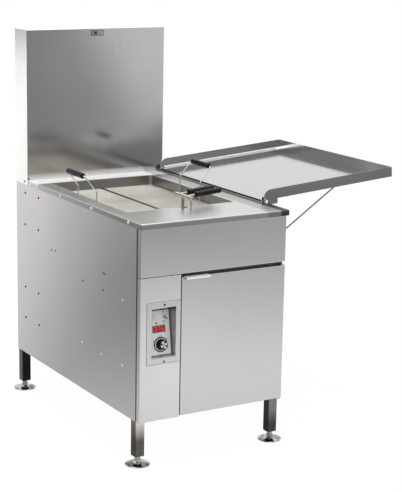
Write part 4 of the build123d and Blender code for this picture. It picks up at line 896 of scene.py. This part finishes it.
# small rigid tubes inside: the thermostat's capillary, and the pilot's gas tube with its two nuts
innerTubes = {"capillary": {"corners": ((-0.239, -0.3685, 0.840), (-0.239, -0.398, 0.840), (-0.239, -0.398, 0.712)),
                            "bend": 0.016, "radius": 0.0016, "slot": "valve_brass"},
              "pilotTube": {"corners": ((-0.030, -0.427, 0.589), (-0.030, -0.427, 0.690), (-0.0275, -0.405, 0.716),
                                        (-0.0275, -0.405, 0.748)), "bend": 0.014, "radius": 0.0030,
                            "slot": "valve_aluminium"}}
for name, tube in innerTubes.items():
    place(surface(name, [carried(bentRoute(tube["corners"], tube["bend"]), tube["radius"], 12)], False, True, 40),
          "cabinet", tube["slot"])
hexNut = {"radius": 0.0072, "length": 0.009, "edge": 0.0010}


def nutGrid(centre, axis):
    # hexagonal ring: r(t) = R cos(pi/6) / cos((t mod pi/3) - pi/6), drawn in at both ends
    axis, first, second = across(axis)
    t = np.linspace(0, 2 * np.pi, 36, endpoint=False)
    side = np.cos(np.pi / 6) / np.cos(np.mod(t, np.pi / 3) - np.pi / 6)
    rows = [(0.45, 0), (0.88, 0), (1.0, hexNut["edge"]), (1.0, hexNut["length"] - hexNut["edge"]),
            (0.88, hexNut["length"]), (0.45, hexNut["length"])]
    rings = []
    for share, height in rows:
        r = hexNut["radius"] * share * (side if share > 0.9 else np.ones_like(t))
        rings.append(np.array(centre) + r[:, None] * (np.cos(t)[:, None] * first + np.sin(t)[:, None] * second)
                     + height * axis)
    return np.array(rings)


nuts = [nutGrid((-0.030, -0.427, 0.5925), (0, 0, 1)), nutGrid((-0.0275, -0.405, 0.7365), (0, 0, 1))]
place(surface("pilotNuts", nuts, True, True, 30), "cabinet", "valve_brass")

# thread on the gas nipple: c + (R + a cos s) e(t) along the turn, pitch t / 2 pi + a sin s along the pipe
nipple = {"centre": (0.221, 0.320), "start": 0.5580, "length": 0.0240, "radius": 0.0129, "ridge": 0.00075,
          "pitch": 0.0018}
turns = nipple["length"] / nipple["pitch"]
t = np.linspace(0, 2 * np.pi * turns, int(40 * turns))[:, None]
round6 = np.linspace(0, 2 * np.pi, 6, endpoint=False)[None, :]
fade = np.clip(np.minimum(t, t[-1] - t) / 2.0, 0.02, 1)
reach = nipple["radius"] + nipple["ridge"] * fade * np.cos(round6)
threadGrid = np.stack([nipple["centre"][0] + reach * np.cos(t),
                       nipple["start"] + nipple["pitch"] * t / (2 * np.pi) + nipple["ridge"] * fade * np.sin(round6),
                       nipple["centre"][1] + reach * np.sin(t)], -1)
place(surface("nippleThread", [threadGrid], False, True, 60), "cabinet", "black_iron")
print("inside tubes laid")


def capPaintedReflection():
    # painted reflection on the cap: dark and bright bands by the angle about its middle, as light falls on its spun
    # face
    material, tree, shader = newMaterial("capPaintedReflection")
    place = tree.nodes.new("ShaderNodeTexCoord")
    mapping = tree.nodes.new("ShaderNodeMapping")
    mapping.vector_type = "TEXTURE"
    mapping.inputs["Location"].default_value = Vector(onFace(*dial["at"], 0.0267))
    mapping.inputs["Rotation"].default_value = (math.radians(90) - leanAngle, 0, 0)
    tree.links.new(place.outputs["Object"], mapping.inputs["Vector"])
    around = tree.nodes.new("ShaderNodeTexGradient")
    around.gradient_type = "RADIAL"
    tree.links.new(mapping.outputs["Vector"], around.inputs["Vector"])
    turns = tree.nodes.new("ShaderNodeMath")
    turns.operation = "MULTIPLY"
    turns.inputs[1].default_value = 8 * math.pi
    tree.links.new(around.outputs["Fac"], turns.inputs[0])
    wave = tree.nodes.new("ShaderNodeMath")
    wave.operation = "SINE"
    tree.links.new(turns.outputs[0], wave.inputs[0])
    tree.links.new(blendColours(tree, spread(tree, wave.outputs[0], 0, 1, -0.6, 0.6), (0.14, 0.14, 0.145), (1, 1, 1)),
                   shader.inputs["Base Color"])
    shader.inputs["Metallic"].default_value = 0.75
    shader.inputs["Roughness"].default_value = 0.3
    return material


nodes["knob_cap"].data.materials.clear()
nodes["knob_cap"].data.materials.append(capPaintedReflection())


# weld bead round the kettle's rim: path of a rounded rectangle, radius rippled along it
weldBead = {"x": (-0.261, 0.206), "y": (-0.3345, 0.3225), "corner": 0.016, "height": 0.9140, "radius": 0.0011,
            "ripple": 0.00018, "pitch": 0.0024}


def roundedLoop(x, y, corner, height, spacing):
    # points at an even spacing round a rounded rectangle
    t = np.linspace(0, np.pi / 2, 8)
    parts = []
    for k, (cx, cy) in enumerate(((x[1] - corner, y[1] - corner), (x[0] + corner, y[1] - corner),
                                  (x[0] + corner, y[0] + corner), (x[1] - corner, y[0] + corner))):
        parts.append(np.stack([cx + corner * np.cos(t + k * np.pi / 2), cy + corner * np.sin(t + k * np.pi / 2)], -1))
    loop = np.concatenate(parts + [parts[0][:1]])
    run = np.concatenate([[0], np.cumsum(np.linalg.norm(np.diff(loop, axis=0), axis=1))])
    at = np.linspace(0, run[-1], int(run[-1] / spacing), endpoint=False)
    return np.stack([np.interp(at, run, loop[:, 0]), np.interp(at, run, loop[:, 1]), np.full(len(at), height)], -1)


beadPath = roundedLoop(weldBead["x"], weldBead["y"], weldBead["corner"], weldBead["height"], weldBead["pitch"] / 4)
beadRadius = weldBead["radius"] + weldBead["ripple"] * np.cos(np.arange(len(beadPath)) * np.pi / 2)
place(surface("kettleWeld", [carried(beadPath, beadRadius, 8, True)], True, True, 60), "cabinet", "kettle_stainless",
      brightMetal("weldSteel", (0.62, 0.60, 0.57), 0.35, 500))
print("weld laid")
